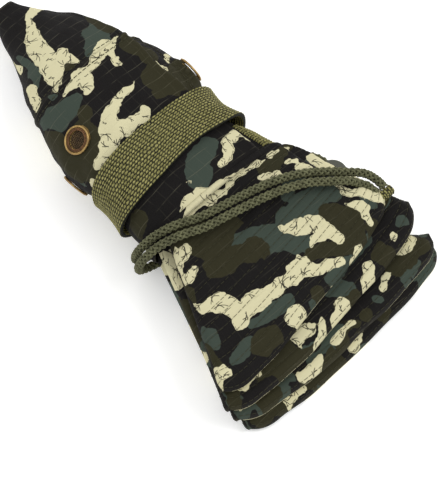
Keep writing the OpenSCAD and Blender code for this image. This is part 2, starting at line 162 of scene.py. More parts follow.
def noise(points, size, seed):
    """Smooth noise from 0 to 1 over points in mm, with features of about that size."""
    table = np.random.RandomState(seed).rand(4096)
    p = np.asarray(points, float) / np.asarray(size, float)
    cell = np.floor(p).astype(int)
    f = p - cell
    f = f * f * (3 - 2 * f)
    primes = (73856093, 19349663, 83492791)
    total = np.zeros(p.shape[:-1])
    for corner in itertools.product((0, 1), repeat=p.shape[-1]):
        key = np.zeros(p.shape[:-1], dtype=np.int64)
        weight = np.ones(p.shape[:-1])
        for k, c in enumerate(corner):
            key ^= (cell[..., k] + c) * primes[k]
            weight *= f[..., k] if c else 1 - f[..., k]
        total += weight * table[key & 4095]
    return total


def along(table, t, column):
    """A smooth curve through one column of a table."""
    x, v = table[:, 0], table[:, column]
    lo, hi = np.maximum(np.arange(len(x)) - 1, 0), np.minimum(np.arange(len(x)) + 1, len(x) - 1)
    slopes = (v[hi] - v[lo]) / (x[hi] - x[lo])
    i = np.clip(np.searchsorted(x, t, side="right") - 1, 0, len(x) - 2)
    h = x[i + 1] - x[i]
    u = (t - x[i]) / h
    return ((2 * u**3 - 3 * u**2 + 1) * v[i] + (u**3 - 2 * u**2 + u) * h * slopes[i]
            + (3 * u**2 - 2 * u**3) * v[i + 1] + (u**3 - u**2) * h * slopes[i + 1])


def crown_smooth(s, turn, out=0.0):
    """A point on the folded crown: turn is 0 on the right side and 90 on top, out stands off the cloth."""
    t = np.clip(s / CROWN_LEN, CROWN[0, 0], 1.3)
    left = CROWN_W * along(CROWN, t, 1) - out
    right = CROWN_W * along(CROWN, t, 2) + out
    low = CROWN_H * along(CROWN, t, 3) - out
    high = CROWN_H * along(CROWN, t, 4) + out
    c, w = np.cos(np.radians(turn)), np.sin(np.radians(turn))
    power = 2 / CROWN_SQUARE
    y = (left + right) / 2 + (right - left) / 2 * np.sign(c) * np.abs(c) ** power
    z = (low + high) / 2 + (high - low) / 2 * np.sign(w) * np.abs(w) ** power
    return np.stack(np.broadcast_arrays(s, y, z), -1)


def arc_from_top(grid, turns):
    """Distance round the crown from its highest line, positive on the right, for rows of points."""
    step = np.linalg.norm(np.diff(grid, axis=1), axis=2)
    length = np.concatenate([np.zeros((len(grid), 1)), np.cumsum(step, axis=1)], axis=1)
    top = np.array([np.interp(90, turns, row) for row in length])
    return -(length - top[:, None])


def crease_line(s):
    """Arc at which the crown's front layer is folded over the layer behind it."""
    return 17 + 9 * ramp(s, 0, 45) + 5 * ramp(s, 80, 125)


def crown_relief(s, arc, turn):
    """How far the crown's cloth stands off its smooth shape: fold, seams and soft wrinkles."""
    flat = np.stack([s, arc], -1)
    calm = ramp(s, 0, 25)
    out = 1.7 * (noise(flat, (26, 15), 3) - 0.5) * calm
    out += 1.3 * (noise(flat, (9, 22), 4) - 0.5) * calm
    out += 0.4 * (noise(flat, (5, 5), 5) - 0.5)
    past = arc - crease_line(s)
    layer = ramp(past, -0.6, 0.8) * (1 - ramp(past, 10, 26)) * (1 - ramp(turn, 60, 90)) * ramp(s, 4, 16)
    out -= 3.2 * layer
    out += 0.9 * bump(past, -1.8, 1.8) * ramp(s, 4, 16) * ramp(turn, -20, -5)
    # seam between top panel and wall, with its two lines of stitching
    out += 0.75 * bump(s, TOP_PANEL_LEN, 1.2) - 0.35 * bump(s, TOP_PANEL_LEN + 2.6, 0.9)
    out -= 0.35 * bump(s, TOP_PANEL_LEN - 2.6, 0.9)
    # gathers that run into the band, and the cloth pressed down under it
    out += 0.7 * np.sin(arc / 3.1 + 2 * np.sin(s / 17)) * bump(s, 100, 9)
    out -= 0.9 * ramp(s, BAND_S - 6, BAND_S + 2) * (1 - ramp(s, BAND_S + BAND_W - 4, BAND_S + BAND_W + 8))
    for seam in PANEL_SEAMS:
        out += 0.5 * bump((turn - seam + 180) % 360 - 180, 0, 1.2) * (s > TOP_PANEL_LEN)
    # the left side swells a little above the eyelets
    out += 1.6 * bump(s, 82, 16) * bump(turn, 165, 35)
    return out


def surface_normals(grid, wrap):
    """Unit normals of a grid of points, outwards."""
    if wrap:
        across = np.roll(grid, -1, axis=1) - np.roll(grid, 1, axis=1)
    else:
        across = np.gradient(grid, axis=1)
    down = np.gradient(grid, axis=0)
    n = np.cross(across, down)
    n /= np.maximum(np.linalg.norm(n, axis=2, keepdims=True), 1e-9)
    return n


def crown_grid(ss, turns, out=0.0, wrap=True, relief=True):
    """Grid of points on the crown's cloth; returns points, arc lengths and the fields the relief reads."""
    s, turn = np.meshgrid(ss, turns, indexing="ij")
    smooth = crown_smooth(s, turn)
    if wrap:
        closed = np.append(turns, turns[0] + 360)
        s2, turn2 = np.meshgrid(ss, closed, indexing="ij")
        arc = arc_from_top(crown_smooth(s2, turn2), closed)[:, :-1]
    else:
        whole = np.linspace(-90, 270, 361)
        s2, turn2 = np.meshgrid(ss, whole, indexing="ij")
        table = arc_from_top(crown_smooth(s2, turn2), whole)
        arc = np.array([np.interp(turns, whole, row) for row in table])
    n = surface_normals(smooth, wrap)
    off = (crown_relief(s, arc, turn) if relief else 0) + out
    points = smooth + n * np.asarray(off)[..., None]
    points[..., 2] = np.maximum(points[..., 2], 0.05)
    return points, arc, s, turn


def stack_base(s):
    return ARCH_H * np.maximum(0, 1 - (s - SEAM_S) / (BRIM_LEN * 0.62))


def stack_top(s, y):
    t = (s - SEAM_S) / BRIM_LEN
    side = (np.abs(y + 2) / (0.56 * CROWN_W)) ** 3
    droop = SEAM_DROOP * np.maximum(0, 1 - t / 0.62) * np.minimum(1.6, side)
    return STACK_H + (RIM_H - STACK_H) * np.minimum(1, t / 0.84) - droop


def leaf_z(leaf, side, s, y):
    base = stack_base(s)
    pitch = (stack_top(s, y) - base) / len(LEAVES)
    gap = 0 if leaf == 3 and side == 1 else LEAF_GAP / 2
    return base + (len(LEAVES) - leaf - side) * pitch + (gap if side else -gap)


def brim_wave(s, y):
    """Waves that run through the whole stack of leaves together."""
    flat = np.stack([s, y], -1)
    grows = ramp(s, SEAM_S + 4, SEAM_S + 45)
    return grows * (2.2 * (noise(flat, (30, 34), 11) - 0.5) + 1.3 * (noise(flat, (13, 17), 12) - 0.5))


LEAF_ROWS, QUILT_ROWS = 91, 15
LEAF_SPAN, LEAF_TURN = 96, 9
CORNER_LEFT, CORNER_RIGHT, CORNER_SHIFT = 17.0, 11.0, 3.5  # rounding of the rim's corners
LOWERED, RAISED = 0.66, 0.34  # how far each sheet goes to meet the other at the rim


def leaf_sheet(leaf):
    """One brim leaf as the line of its outer face, for each row from seam to rim.

    The line runs from the open right edge over the top, round the fold at the left and back underneath to
    the right edge. Returns outer and inner points, and the side of each column: 0 on top, 1 underneath.
    """
    left_share, right_share, rim_ls, rim_ly, rim_rs, rim_ry, bow, curve = LEAVES[leaf]
    v = np.linspace(0, 1, LEAF_ROWS)[:, None]
    left = np.stack([SEAM_S + v * BRIM_LEN * rim_ls,
                     left_share * CROWN_W + v * (rim_ly * BRIM_W - left_share * CROWN_W)], -1)
    right = np.stack([SEAM_S + v * BRIM_LEN * rim_rs,
                      right_share * CROWN_W + v**curve * (rim_ry * BRIM_W - right_share * CROWN_W)], -1)
    across = right - left
    width = np.linalg.norm(across, axis=-1, keepdims=True)
    across = across / width
    zl = [leaf_z(leaf, side, left[..., 0], left[..., 1]) for side in (0, 1)]
    turn_r = (zl[0] - zl[1] - LEAF_GAP / 2) / 2
    inner_left = left + across * turn_r[..., None]
    u = np.linspace(1, 0, LEAF_SPAN)[None, :]
    flat_w = np.linalg.norm(right - inner_left, axis=-1, keepdims=True)[..., 0]
    # rounded corners at the rim
    corner = np.where(u < 0.5, CORNER_LEFT, CORNER_RIGHT)
    d = np.where(u < 0.5, u * flat_w + CORNER_SHIFT, (1 - u) * flat_w)
    short = corner - np.sqrt(np.maximum(corner**2 - np.maximum(corner - d, 0) ** 2, 0))
    ripple = 1.5 * (noise(np.stack(np.broadcast_arrays(u * 130 + leaf * 57, v * 0), -1), (17, 9), 21) - 0.5)
    xy = inner_left + (right - inner_left) * u[..., None]
    s = xy[..., 0] + 4 * u * (1 - u) * bow * v - (short * 0.8 - ripple) * v**6
    y = xy[..., 1]
    wave = brim_wave(s, y)
    # the top sheet of the uppermost leaf crumples on its own
    crumple = noise(np.stack([s + 0.8 * y, y], -1), (9, 24), 14)
    crumple = crumple + 0.5 * noise(np.stack([s, y], -1), (5, 9), 15) - 0.75
    crumple = crumple * (1.1 if leaf == 0 else 0.5) * ramp(v, 0.05, 0.2)
    # rows of quilting press the cloth in; the rim's last row lies on its lower sheet
    row = np.abs((v * QUILT_ROWS + 0.5) % 1 - 0.5) * 2
    quilt = -0.38 * (1 - np.minimum(1, row * 2.4)) ** 1.5 + 0.12 * np.sin(np.pi * np.minimum(1, row))
    roll = RIM_ROLL[leaf]
    rim_in = np.clip(1 - (1 - v) * BRIM_LEN / roll, 0, 1)
    open_in = np.clip(1 - (1 - u) * flat_w / roll, 0, 1) * ramp(v, 0.0, 0.25)
    round_in = np.minimum(np.hypot(rim_in, open_in), 1)
    closed = 1 - np.sqrt(np.maximum(1 - round_in**2, 0))
    thick = EDGE_T + (BRIM_T - EDGE_T) * np.sqrt(np.maximum(1 - round_in**2, 0))
    gap_inside = leaf_z(leaf, 0, s, y) - leaf_z(leaf, 1, s, y) - 2 * EDGE_T - 0.3
    lowered = LOWERED * gap_inside * closed
    raised = RAISED * gap_inside * closed
    columns, depths = [], []
    top_z = leaf_z(leaf, 0, s, y) + wave + quilt + crumple - lowered
    columns.append(np.stack([s, y, top_z], -1))
    depths.append(np.broadcast_to(np.array([0, 0, -1.0]), (LEAF_ROWS, LEAF_SPAN, 3)))
    angles = np.radians(np.linspace(90, 270, LEAF_TURN + 2)[1:-1])[None, :]
    base_s = s[:, -1:]
    base_y = y[:, -1:]
    reach = turn_r * np.cos(angles) * (1 - closed[:, -1:])
    ts = base_s + across[..., 0] * reach
    ty = base_y + across[..., 1] * reach
    low_here = top_z[:, -1:]
    low_there = leaf_z(leaf, 1, base_s, base_y) + brim_wave(base_s, base_y) + raised[:, -1:]
    tz = (low_here + low_there) / 2 + (low_here - low_there) / 2 * np.sin(angles)
    columns.append(np.stack([ts, ty, tz], -1))
    depths.append(np.stack([np.broadcast_to(-across[..., 0] * np.cos(angles), ts.shape),
                            np.broadcast_to(-across[..., 1] * np.cos(angles), ts.shape),
                            np.broadcast_to(-np.sin(angles), ts.shape)], -1))
    sb, yb = s[:, ::-1], y[:, ::-1]
    if leaf == 3:
        bottom_z = np.maximum(leaf_z(leaf, 1, sb, yb), 0) + 0 * sb
        under = np.maximum(brim_wave(sb, yb), 0) * ramp(stack_base(sb), 0, 3)
        bottom_z = bottom_z + under + raised[:, ::-1]
    else:
        bottom_z = leaf_z(leaf, 1, sb, yb) + wave[:, ::-1] + raised[:, ::-1]
    columns.append(np.stack([sb, yb, bottom_z], -1))
    depths.append(np.broadcast_to(np.array([0, 0, 1.0]), (LEAF_ROWS, LEAF_SPAN, 3)))
    outer = np.concatenate(columns, axis=1)
    thick = np.concatenate([thick, np.repeat(thick[:, -1:], LEAF_TURN, axis=1), thick[:, ::-1]], axis=1)
    inner = outer + np.concatenate(depths, axis=1) * thick[..., None]
    side = np.concatenate([np.zeros(LEAF_SPAN), np.linspace(0, 1, LEAF_TURN + 2)[1:-1], np.ones(LEAF_SPAN)])
    return outer, inner, side


# ---------------------------------------------------------------- camouflage, drawn in mm

# Each blot is a chain of rounded lengths: (across, along, radius). On the crown, across is the arc from the
# highest line and along is s; on the brim, across is y.
CROWN_CREAM = [
    [(19, 7, 2.5), (11, 9, 4), (4, 12, 3), (-1, 15, 2), (-4, 21, 3.4), (-9, 31, 5.5), (-13, 41, 6.5),
    (-15, 49, 6), (-20, 57, 3.5), (-23, 60, 1.5)], [(-12, 46, 4), (-5, 48, 4.2), (-4, 52, 3.5)],
    [(-22, 67, 1.3), (-14, 64.5, 2.5), (-6, 64, 4), (2, 63.5, 3), (10, 61, 2.6), (19, 59, 1.3)], [(6, 61, 2),
    (13, 56, 3)], [(13, 61, 2), (11.5, 67, 1.7), (10.5, 73, 1.2)], [(-8, 66, 4), (-9, 71, 3.6),
    (-12, 75, 2.3)], [(8, 87, 1.2), (5, 89, 1.4), (0, 88.5, 2.4), (-5, 90, 2.6), (-10, 92.5, 4),
    (-15, 95, 5.4), (-18, 99, 6.6), (-21, 104, 5.6), (-25, 107, 3.6), (-31, 108, 2.6)], [(-17, 101, 5),
    (-12, 103.5, 4.4), (-5, 104, 3.6), (3, 104, 2.8)], [(-30, 11, 1.5), (-28, 20, 3), (-27, 31, 2.6)],
    [(-30, 47, 4), (-34, 55, 4)], [(-52, 39, 5), (-55, 48, 4)], [(-45, 111, 2.4), (-41, 111, 2.2)],
    [(27, 82, 1.3), (28, 87, 1.9)], [(36, 83, 1.2), (45, 80, 1.2), (55, 76, 1.6)], [(31, 103, 1.8)],
    [(57, 73, 1.8), (60, 77, 1.4)], [(61, 94, 2)], [(9, 149, 1.2), (16, 147, 2.2), (21, 142, 2.7),
    (28, 141, 2.4), (33, 146, 1.3)], [(-8, 145, 1.9)], [(-24, 158, 3), (-16, 155, 4), (-9, 154, 3.6),
    (-2, 158, 1.8)], [(48, 148, 1.5), (56, 150, 2)],
]
CROWN_OLIVE = [
    [(-9, 55, 3.2)], [(30, 40, 8), (34, 52, 9)], [(26, 36, 6), (23, 50, 5)], [(22, 66, 5), (26, 76, 7)],
    [(20, 92, 9), (30, 98, 11), (48, 96, 12)], [(14, 100, 4), (22, 104, 4)], [(-46, 78, 8), (-44, 92, 12),
    (-32, 98, 9), (-26, 88, 5), (-36, 104, 7), (-56, 88, 9)], [(-20, 82, 4)], [(-46, 36, 3), (-42, 24, 3)],
    [(-50, 142, 7), (-38, 140, 4)], [(38, 128, 6), (44, 140, 8)], [(64, 60, 7), (66, 72, 6)],
]
CROWN_GREEN = [
    [(20, 44, 4), (14, 49, 7), (8, 56, 6)], [(-18, 74, 3), (-30, 74, 7), (-38, 68, 4)], [(-27, 63, 2.5)],
    [(-20, 27, 2.6), (-22, 38, 3.2), (-24, 48, 2.6)], [(-58, 72, 6), (-62, 84, 5)], [(-62, 100, 5),
    (-50, 106, 4)], [(-6, 148, 5), (4, 141, 6), (14, 136, 5)], [(50, 34, 3), (58, 38, 3)], [(46, 66, 5)],
    [(-55, 60, 3)],
]
BRIM_CREAM = [
    [(-51, 163, 3.5), (-48, 170, 5.2), (-41, 169, 4), (-35, 170, 3)], [(-48, 178, 4), (-43, 179, 3),
    (-38, 179, 1.5)], [(-51, 193, 1.3), (-46, 196, 2.8), (-38, 200, 5.2), (-35, 206, 4), (-38, 212, 4)],
    [(-38, 212, 4), (-30, 209, 4), (-22, 210, 4), (-14, 212, 4.5), (-6, 213, 4.5), (3, 210, 5.2),
    (5, 214, 4.5), (10, 218, 3.6), (16, 220, 2.4), (20, 221, 1.2)], [(-2, 207, 2), (4, 207, 2.4)],
    [(9, 192.5, 2.5), (15, 195, 4.2), (22, 200, 4.4), (24, 206, 4), (27, 212, 2.4)], [(14, 206, 2),
    (20, 206, 3)], [(46, 191, 1.2), (49, 197, 2), (57, 203, 4.6), (59, 210, 3.6)], [(42, 201, 1.6),
    (46, 206, 4), (44, 212, 2.6), (43, 217, 1.2)], [(19, 166, 1.5), (26, 168, 2.4)], [(37, 172, 2.4),
    (40, 175, 2)], [(35, 165, 1.6), (39, 168, 1.4)], [(-24, 158, 3), (-16, 155, 3.8), (-8, 156, 3),
    (0, 158, 1.8), (10, 158.5, 1.4), (20, 159, 1.3), (32, 158.5, 1.2)],
]
BRIM_OLIVE = [
    [(-42, 162, 3), (-30, 166, 9), (-22, 174, 9), (-10, 172, 6)], [(-55, 182, 5), (-48, 187, 5),
    (-53, 176, 3)], [(-32, 183, 4), (-20, 187, 5), (-8, 190, 5)], [(30, 200, 5), (36, 207, 8), (34, 216, 6),
    (30, 222, 4)], [(10, 209, 3.4), (18, 213, 4.5), (28, 217, 5)], [(24, 163, 4), (34, 161, 3)],
    [(-64, 213, 4), (-62, 221, 4)],
]
BRIM_GREEN = [
    [(-20, 181, 2.6), (-12, 182, 3.5), (-2, 188, 6), (8, 197, 7), (12, 202, 5)],
    [(14, 188, 6), (28, 190, 7), (40, 191, 6)], [(30, 176, 4), (22, 180, 4)], [(-66, 206, 3), (-57, 208, 6)],
    [(-34, 216, 2.6), (-26, 219, 4), (-12, 221, 3)], [(10, 224, 3), (26, 223, 3), (44, 222, 3.4)],
    [(50, 208, 3), (52, 200, 2)],
]
# bands that show past the leaf above: cream, olive and grey-green for each leaf's rim
RIM_CREAM = {
    0: [[(-66, 228, 4.6), (-59, 226, 3.4)], [(-17, 228, 4), (-13, 227, 3.4)], [(9, 229, 2.6)],
        [(27, 225, 4), (33, 223, 3)], [(51, 226, 2)]],
    1: [[(-56, 233, 3.4), (-47, 233, 3.4)], [(-21, 233, 3), (-12, 232, 3.2)], [(-14, 241, 3), (-7, 236, 2)],
        [(0, 239, 3.4), (7, 235, 3.2)], [(22, 236, 2), (31, 231, 4)], [(52, 226, 2.4)]],
    2: [[(-30, 246, 3), (-16, 247, 2.4)], [(-4, 244, 2.6), (6, 243, 2.2)], [(30, 240, 2), (36, 237, 2)],
        [(50, 233, 2.4), (60, 228, 2)], [(-62, 240, 2)]],
    3: [[(-40, 248, 3), (-32, 250, 2.6)], [(2, 250, 2.6), (10, 247, 2)], [(44, 239, 2.2), (55, 236, 2.6)]],
}
RIM_OLIVE = {
    0: [[(-40, 227, 5), (-30, 228, 5)], [(0, 226, 4)], [(44, 220, 5)]],
    1: [[(-38, 235, 6), (-28, 236, 5)], [(14, 236, 5)], [(42, 229, 6)], [(-66, 236, 4)]],
    2: [[(-50, 245, 6), (-44, 243, 4)], [(14, 244, 4)], [(44, 236, 6), (60, 234, 5)]],
    3: [[(-56, 247, 5)], [(-10, 252, 5)], [(24, 246, 5)], [(62, 236, 5)]],
}
RIM_GREEN = {
    0: [[(-50, 224, 3.6), (-42, 222, 3)], [(-4, 229, 3)], [(16, 226, 4), (20, 225, 3)], [(40, 226, 3)]],
    1: [[(-32, 231, 2.6)], [(20, 241, 3)], [(60, 222, 3)]],
    2: [[(-20, 244, 3)], [(24, 242, 3)], [(66, 230, 3)]],
    3: [[(-24, 252, 3)], [(34, 243, 3)]],
}


def blots(points, chains):
    """Depth in mm inside the nearest blot, below 0 outside."""
    best = np.full(points.shape[:-1], -40.0)
    for chain in chains:
        ends = chain if len(chain) > 1 else [chain[0], chain[0]]
        for (ax, ay, ar), (bx, by, br) in zip(ends, ends[1:]):
            run = np.array([bx - ax, by - ay], float)
            square = max(run @ run, 1e-6)
            rel = points - np.array([ax, ay], float)
            t = np.clip((rel @ run) / square, 0, 1)
            gap = np.linalg.norm(rel - t[..., None] * run, axis=-1)
            best = np.maximum(best, ar + (br - ar) * t - gap)
    return best


def scattered(points, seed, share, size):
    """Depth in mm inside blots that a fixed noise scatters over the cloth."""
    n = 0.75 * noise(points, size, seed) + 0.25 * noise(points, (size[0] * 0.4, size[1] * 0.4), seed + 1)
    return (n - (1 - share)) * 26


def camouflage_fields(points, drawn, hand=1.0, shift=0.0, strict=1.0):
    """Cream, olive and green depths: drawn chains where hand is 1 and scattered blots where it is 0. Below 1,
    strict lets scattered olive and green in among the drawn ones."""
    bend = np.stack([noise(points + shift, (9, 9), 91), noise(points + shift, (9, 9), 92)], -1) - 0.5
    points = points + 4.0 * bend
    away = 30 * (1 - np.asarray(hand))
    moved = points + np.array([shift, shift * 0.37])
    sizes = ((21, 9), (27, 13), (24, 11))
    shares = (0.44, 0.52, 0.46)
    fields = []
    for k in range(3):
        own = blots(points, drawn[k]) - away
        rest = scattered(moved, 40 + 7 * k, shares[k], sizes[k]) - (30 - away) * (1.0 if k == 0 else strict)
        fields.append(np.maximum(own, rest))
    return dict(zip(("cream", "olive", "green"), fields))


# ---------------------------------------------------------------- mesh making


def grid_quads(rows, cols, first=0, wrap=False, flip=False):
    i, j = np.meshgrid(np.arange(rows - 1), np.arange(cols if wrap else cols - 1), indexing="ij")
    a = first + i * cols + j
    b = first + i * cols + (j + 1) % cols
    quads = np.stack([a, b, b + cols, a + cols], -1).reshape(-1, 4)
    return quads[:, ::-1] if flip else quads


def strip_quads(a, b):
    """Quads between two runs of points."""
    return np.stack([a[:-1], a[1:], b[1:], b[:-1]], -1)


def cloth_faces(rows, cols, wrap):
    """Faces of a sheet with an outer and an inner grid; the last ones close its edges."""
    n = rows * cols
    outer = grid_quads(rows, cols, 0, wrap)
    inner = grid_quads(rows, cols, n, wrap, flip=True)
    top = np.arange(cols)
    bottom = (rows - 1) * cols + top
    if wrap:
        top, bottom = np.append(top, 0), np.append(bottom, (rows - 1) * cols)
    edges = [strip_quads(top + n, top), strip_quads(bottom, bottom + n)]
    if not wrap:
        start = np.arange(rows) * cols
        end = start + cols - 1
        edges += [strip_quads(start, start + n), strip_quads(end + n, end)]
    return np.concatenate([outer, inner] + edges)


def stacked(outer, inner):
    """The points of both faces of a sheet in one run."""
    return np.concatenate([outer.reshape(-1, 3), inner.reshape(-1, 3)])


def doubled(fields):
    """One value for each point of both faces."""
    return {k: np.concatenate([v.ravel(), v.ravel()]) for k, v in fields.items()}


def new_object(name, data):
    obj = bpy.data.objects.new(name, data)
    bpy.context.scene.collection.objects.link(obj)
    return obj


def make_mesh(name, points, faces, materials, fields=None, uv=None, material_index=None, smooth=True):
    """An object whose place is in its mesh; points are (s, y, z) in mm."""
    mesh = bpy.data.meshes.new(name)
    faces = faces.tolist() if hasattr(faces, "tolist") else faces
    mesh.from_pydata(placed(points).tolist(), [], [tuple(f) for f in faces])
    for material in materials:
        mesh.materials.append(material)
    if material_index is not None:
        mesh.polygons.foreach_set("material_index", np.asarray(material_index, dtype=np.int32))
    mesh.polygons.foreach_set("use_smooth", [smooth] * len(mesh.polygons))
    for key, values in (fields or {}).items():
        layer = mesh.attributes.new(key, "FLOAT", "POINT")
        layer.data.foreach_set("value", np.asarray(values, dtype=np.float32).ravel())
    if uv is not None:
        layer = mesh.uv_layers.new(name="cloth")
        corners = np.empty(len(mesh.loops), dtype=np.int32)
        mesh.loops.foreach_get("vertex_index", corners)
        layer.data.foreach_set("uv", np.asarray(uv, dtype=np.float32).reshape(-1, 2)[corners].ravel())
    mesh.validate()
    mesh.update()
    return new_object(name, mesh)


def smooth_route(points, step=0.5):
    """Points every step mm along a smooth curve through the given ones."""
    p = np.asarray(points, float)
    p = np.vstack([2 * p[0] - p[1], p, 2 * p[-1] - p[-2]])
    fine = []
    for i in range(1, len(p) - 2):
        t = np.linspace(0, 1, 24, endpoint=False)[:, None]
        fine.append(0.5 * (2 * p[i] + (p[i + 1] - p[i - 1]) * t
                           + (2 * p[i - 1] - 5 * p[i] + 4 * p[i + 1] - p[i + 2]) * t**2
                           + (3 * p[i] - p[i - 1] - 3 * p[i + 1] + p[i + 2]) * t**3))
    fine = np.vstack(fine + [p[-2:-1]])
    d = np.concatenate([[0], np.cumsum(np.linalg.norm(np.diff(fine, axis=0), axis=1))])
    at = np.linspace(0, d[-1], int(d[-1] / step) + 1)
    return np.stack([np.interp(at, d, fine[:, k]) for k in range(3)], -1), d[-1]


# ---------------------------------------------------------------- node helpers


def new_group(name, kind, inputs, outputs):
    tree = bpy.data.node_groups.new(name, kind)
    for label, socket, value in inputs:
        made = tree.interface.new_socket(name=label, in_out="INPUT", socket_type="NodeSocket" + socket)
        if value is not None:
            made.default_value = value
    for label, socket in outputs:
        tree.interface.new_socket(name=label, in_out="OUTPUT", socket_type="NodeSocket" + socket)
    given, result = tree.nodes.new("NodeGroupInput"), tree.nodes.new("NodeGroupOutput")
    return Wiring(tree), given.outputs, result.inputs


class Wiring:
    """Short calls that add nodes to one tree."""

    def __init__(self, tree):
        self.tree = tree

    def node(self, kind, links=None, **settings):
        made = self.tree.nodes.new(kind)
        for key, value in settings.items():
            setattr(made, key, value)
        for key, value in (links or {}).items():
            self.feed(made.inputs[key], value)
        return made

    def feed(self, socket, value):
        if isinstance(value, bpy.types.NodeSocket):
            self.tree.links.new(value, socket)
        else:
            socket.default_value = value

    def math(self, operation, *values):
        made = self.tree.nodes.new("ShaderNodeMath")
        made.operation = operation
        for k, value in enumerate(values):
            self.feed(made.inputs[k], value)
        return made.outputs[0]

    def mul(self, a, b):
        return self.math("MULTIPLY", a, b)

    def add(self, a, b):
        return self.math("ADD", a, b)

    def sub(self, a, b):
        return self.math("SUBTRACT", a, b)

    def div(self, a, b):
        return self.math("DIVIDE", a, b)

    def vector(self, operation, *values):
        made = self.tree.nodes.new("ShaderNodeVectorMath")
        made.operation = operation
        for k, value in enumerate(values):
            if operation == "SCALE" and k == 1:
                self.feed(made.inputs["Scale"], value)
            else:
                self.feed(made.inputs[k], value)
        return made.outputs[0]

    def place(self):
        return self.node("ShaderNodeTexCoord").outputs["Object"]

    def noise(self, place, scale, detail, rough=0.5):
        return self.node("ShaderNodeTexNoise", {"Vector": place, "Scale": scale, "Detail": detail,
                                                "Roughness": rough}).outputs["Fac"]

    def spun(self, vector, angle):
        return self.node("ShaderNodeVectorRotate", {"Vector": vector, "Axis": (0, 0, 1),
                                                    "Angle": angle}).outputs[0]

    def named(self, label):
        return self.node("ShaderNodeAttribute", attribute_name=label).outputs["Fac"]

    def resampled(self, curve, length):
        return self.node("GeometryNodeResampleCurve", {"Curve": curve, "Length": length},
                         mode="LENGTH").outputs["Curve"]

    def tube(self, curve, radius, sides):
        """A capped tube along a curve."""
        ring = self.node("GeometryNodeCurvePrimitiveCircle", {"Resolution": sides, "Radius": radius})
        return self.node("GeometryNodeCurveToMesh", {"Curve": curve, "Profile Curve": ring.outputs["Curve"],
                                                     "Fill Caps": True}).outputs[0]

    def shifted(self, geometry, shift):
        """Moves points by a shift worked out before any of them has moved."""
        kept = self.node("GeometryNodeCaptureAttribute", {"Geometry": geometry}, domain="POINT")
        kept.capture_items.new("VECTOR", "Shift")
        self.feed(kept.inputs["Shift"], shift)
        return self.node("GeometryNodeSetPosition", {"Geometry": kept.outputs["Geometry"],
                                                     "Offset": kept.outputs["Shift"]}).outputs[0]

    def painted(self, geometry, material):
        return self.node("GeometryNodeSetMaterial", {"Geometry": geometry, "Material": material}).outputs[0]

    def realised(self, geometry):
        return self.node("GeometryNodeRealizeInstances", {"Geometry": geometry}).outputs[0]

    def smooth(self, value, low, high):
        made = self.tree.nodes.new("ShaderNodeMapRange")
        made.interpolation_type = "SMOOTHSTEP"
        for key, v in (("Value", value), ("From Min", low), ("From Max", high)):
            self.feed(made.inputs[key], v)
        return made.outputs["Result"]

    def mix(self, share, a, b):
        made = self.tree.nodes.new("ShaderNodeMix")
        made.data_type = "RGBA"
        for k, v in ((0, share), (6, a), (7, b)):
            self.feed(made.inputs[k], v)
        return made.outputs[2]

    def group(self, tree, **values):
        kind = "ShaderNodeGroup" if self.tree.bl_idname == "ShaderNodeTree" else "GeometryNodeGroup"
        made = self.tree.nodes.new(kind)
        made.node_tree = tree
        for key, value in values.items():
            self.feed(made.inputs[key.replace("_", " ")], value)
        return made


def colour(text, alpha=1.0):
    """From a hex colour to a linear one."""
    parts = [int(text[i:i + 2], 16) / 255 for i in (0, 2, 4)]
    return tuple(c / 12.92 if c <= 0.04045 else ((c + 0.055) / 1.055) ** 2.4 for c in parts) + (alpha,)


# ---------------------------------------------------------------- shader groups


def twig_group():
    """Short dark twig strokes, one small fork to each cell: the mask is 1 on a stroke."""
    w, g, out = new_group("Twig strokes", "ShaderNodeTree", [
        ("Plan", "Vector", None), ("Cell", "Float", 6.0), ("Width", "Float", 0.3),
        ("Reach", "Float", 1.0),
    ], [("Mask", "Float")])
    scaled = w.vector("DIVIDE", g["Plan"], w.node("ShaderNodeCombineXYZ", {
        "X": g["Cell"], "Y": g["Cell"], "Z": 1.0}).outputs[0])
    cells = w.node("ShaderNodeTexVoronoi", {"Vector": scaled, "Scale": 1.0, "Randomness": 0.75},
                   voronoi_dimensions="2D", feature="F1")
    local = w.vector("SCALE", w.vector("SUBTRACT", scaled, cells.outputs["Position"]), g["Cell"])
    chance = w.node("ShaderNodeSeparateColor", {"Color": cells.outputs["Color"]})
    turned = w.spun(local, w.mul(chance.outputs[0], 6.283))
    parts = []
    # a stem and two side twigs: turn, foot and length
    twigs = (0.0, (0.0, 0.0, 0), 1.9), (0.62, (0.9, 0.35, 0), 1.2), (-0.75, (-0.6, -0.5, 0), 1.0)
    for angle, offset, reach in twigs:
        moved = w.vector("SUBTRACT", turned, offset)
        spun = w.spun(moved, angle)
        axes = w.node("ShaderNodeSeparateXYZ", {"Vector": spun})
        bent = w.add(axes.outputs[1], w.mul(w.mul(axes.outputs[0], axes.outputs[0]), 0.09))
        long = w.mul(g["Reach"], w.mul(chance.outputs[2], 1.3 * reach))
        past = w.math("MAXIMUM", w.sub(w.math("ABSOLUTE", axes.outputs[0]), long), 0.0)
        parts.append(w.add(w.math("ABSOLUTE", bent), past))
    near = w.math("MINIMUM", w.math("MINIMUM", parts[0], parts[1]), parts[2])
    line = w.smooth(near, g["Width"], w.mul(g["Width"], 0.35))
    shown = w.math("GREATER_THAN", chance.outputs[1], 0.22)
    w.feed(out["Mask"], w.mul(line, shown))
    return w.tree


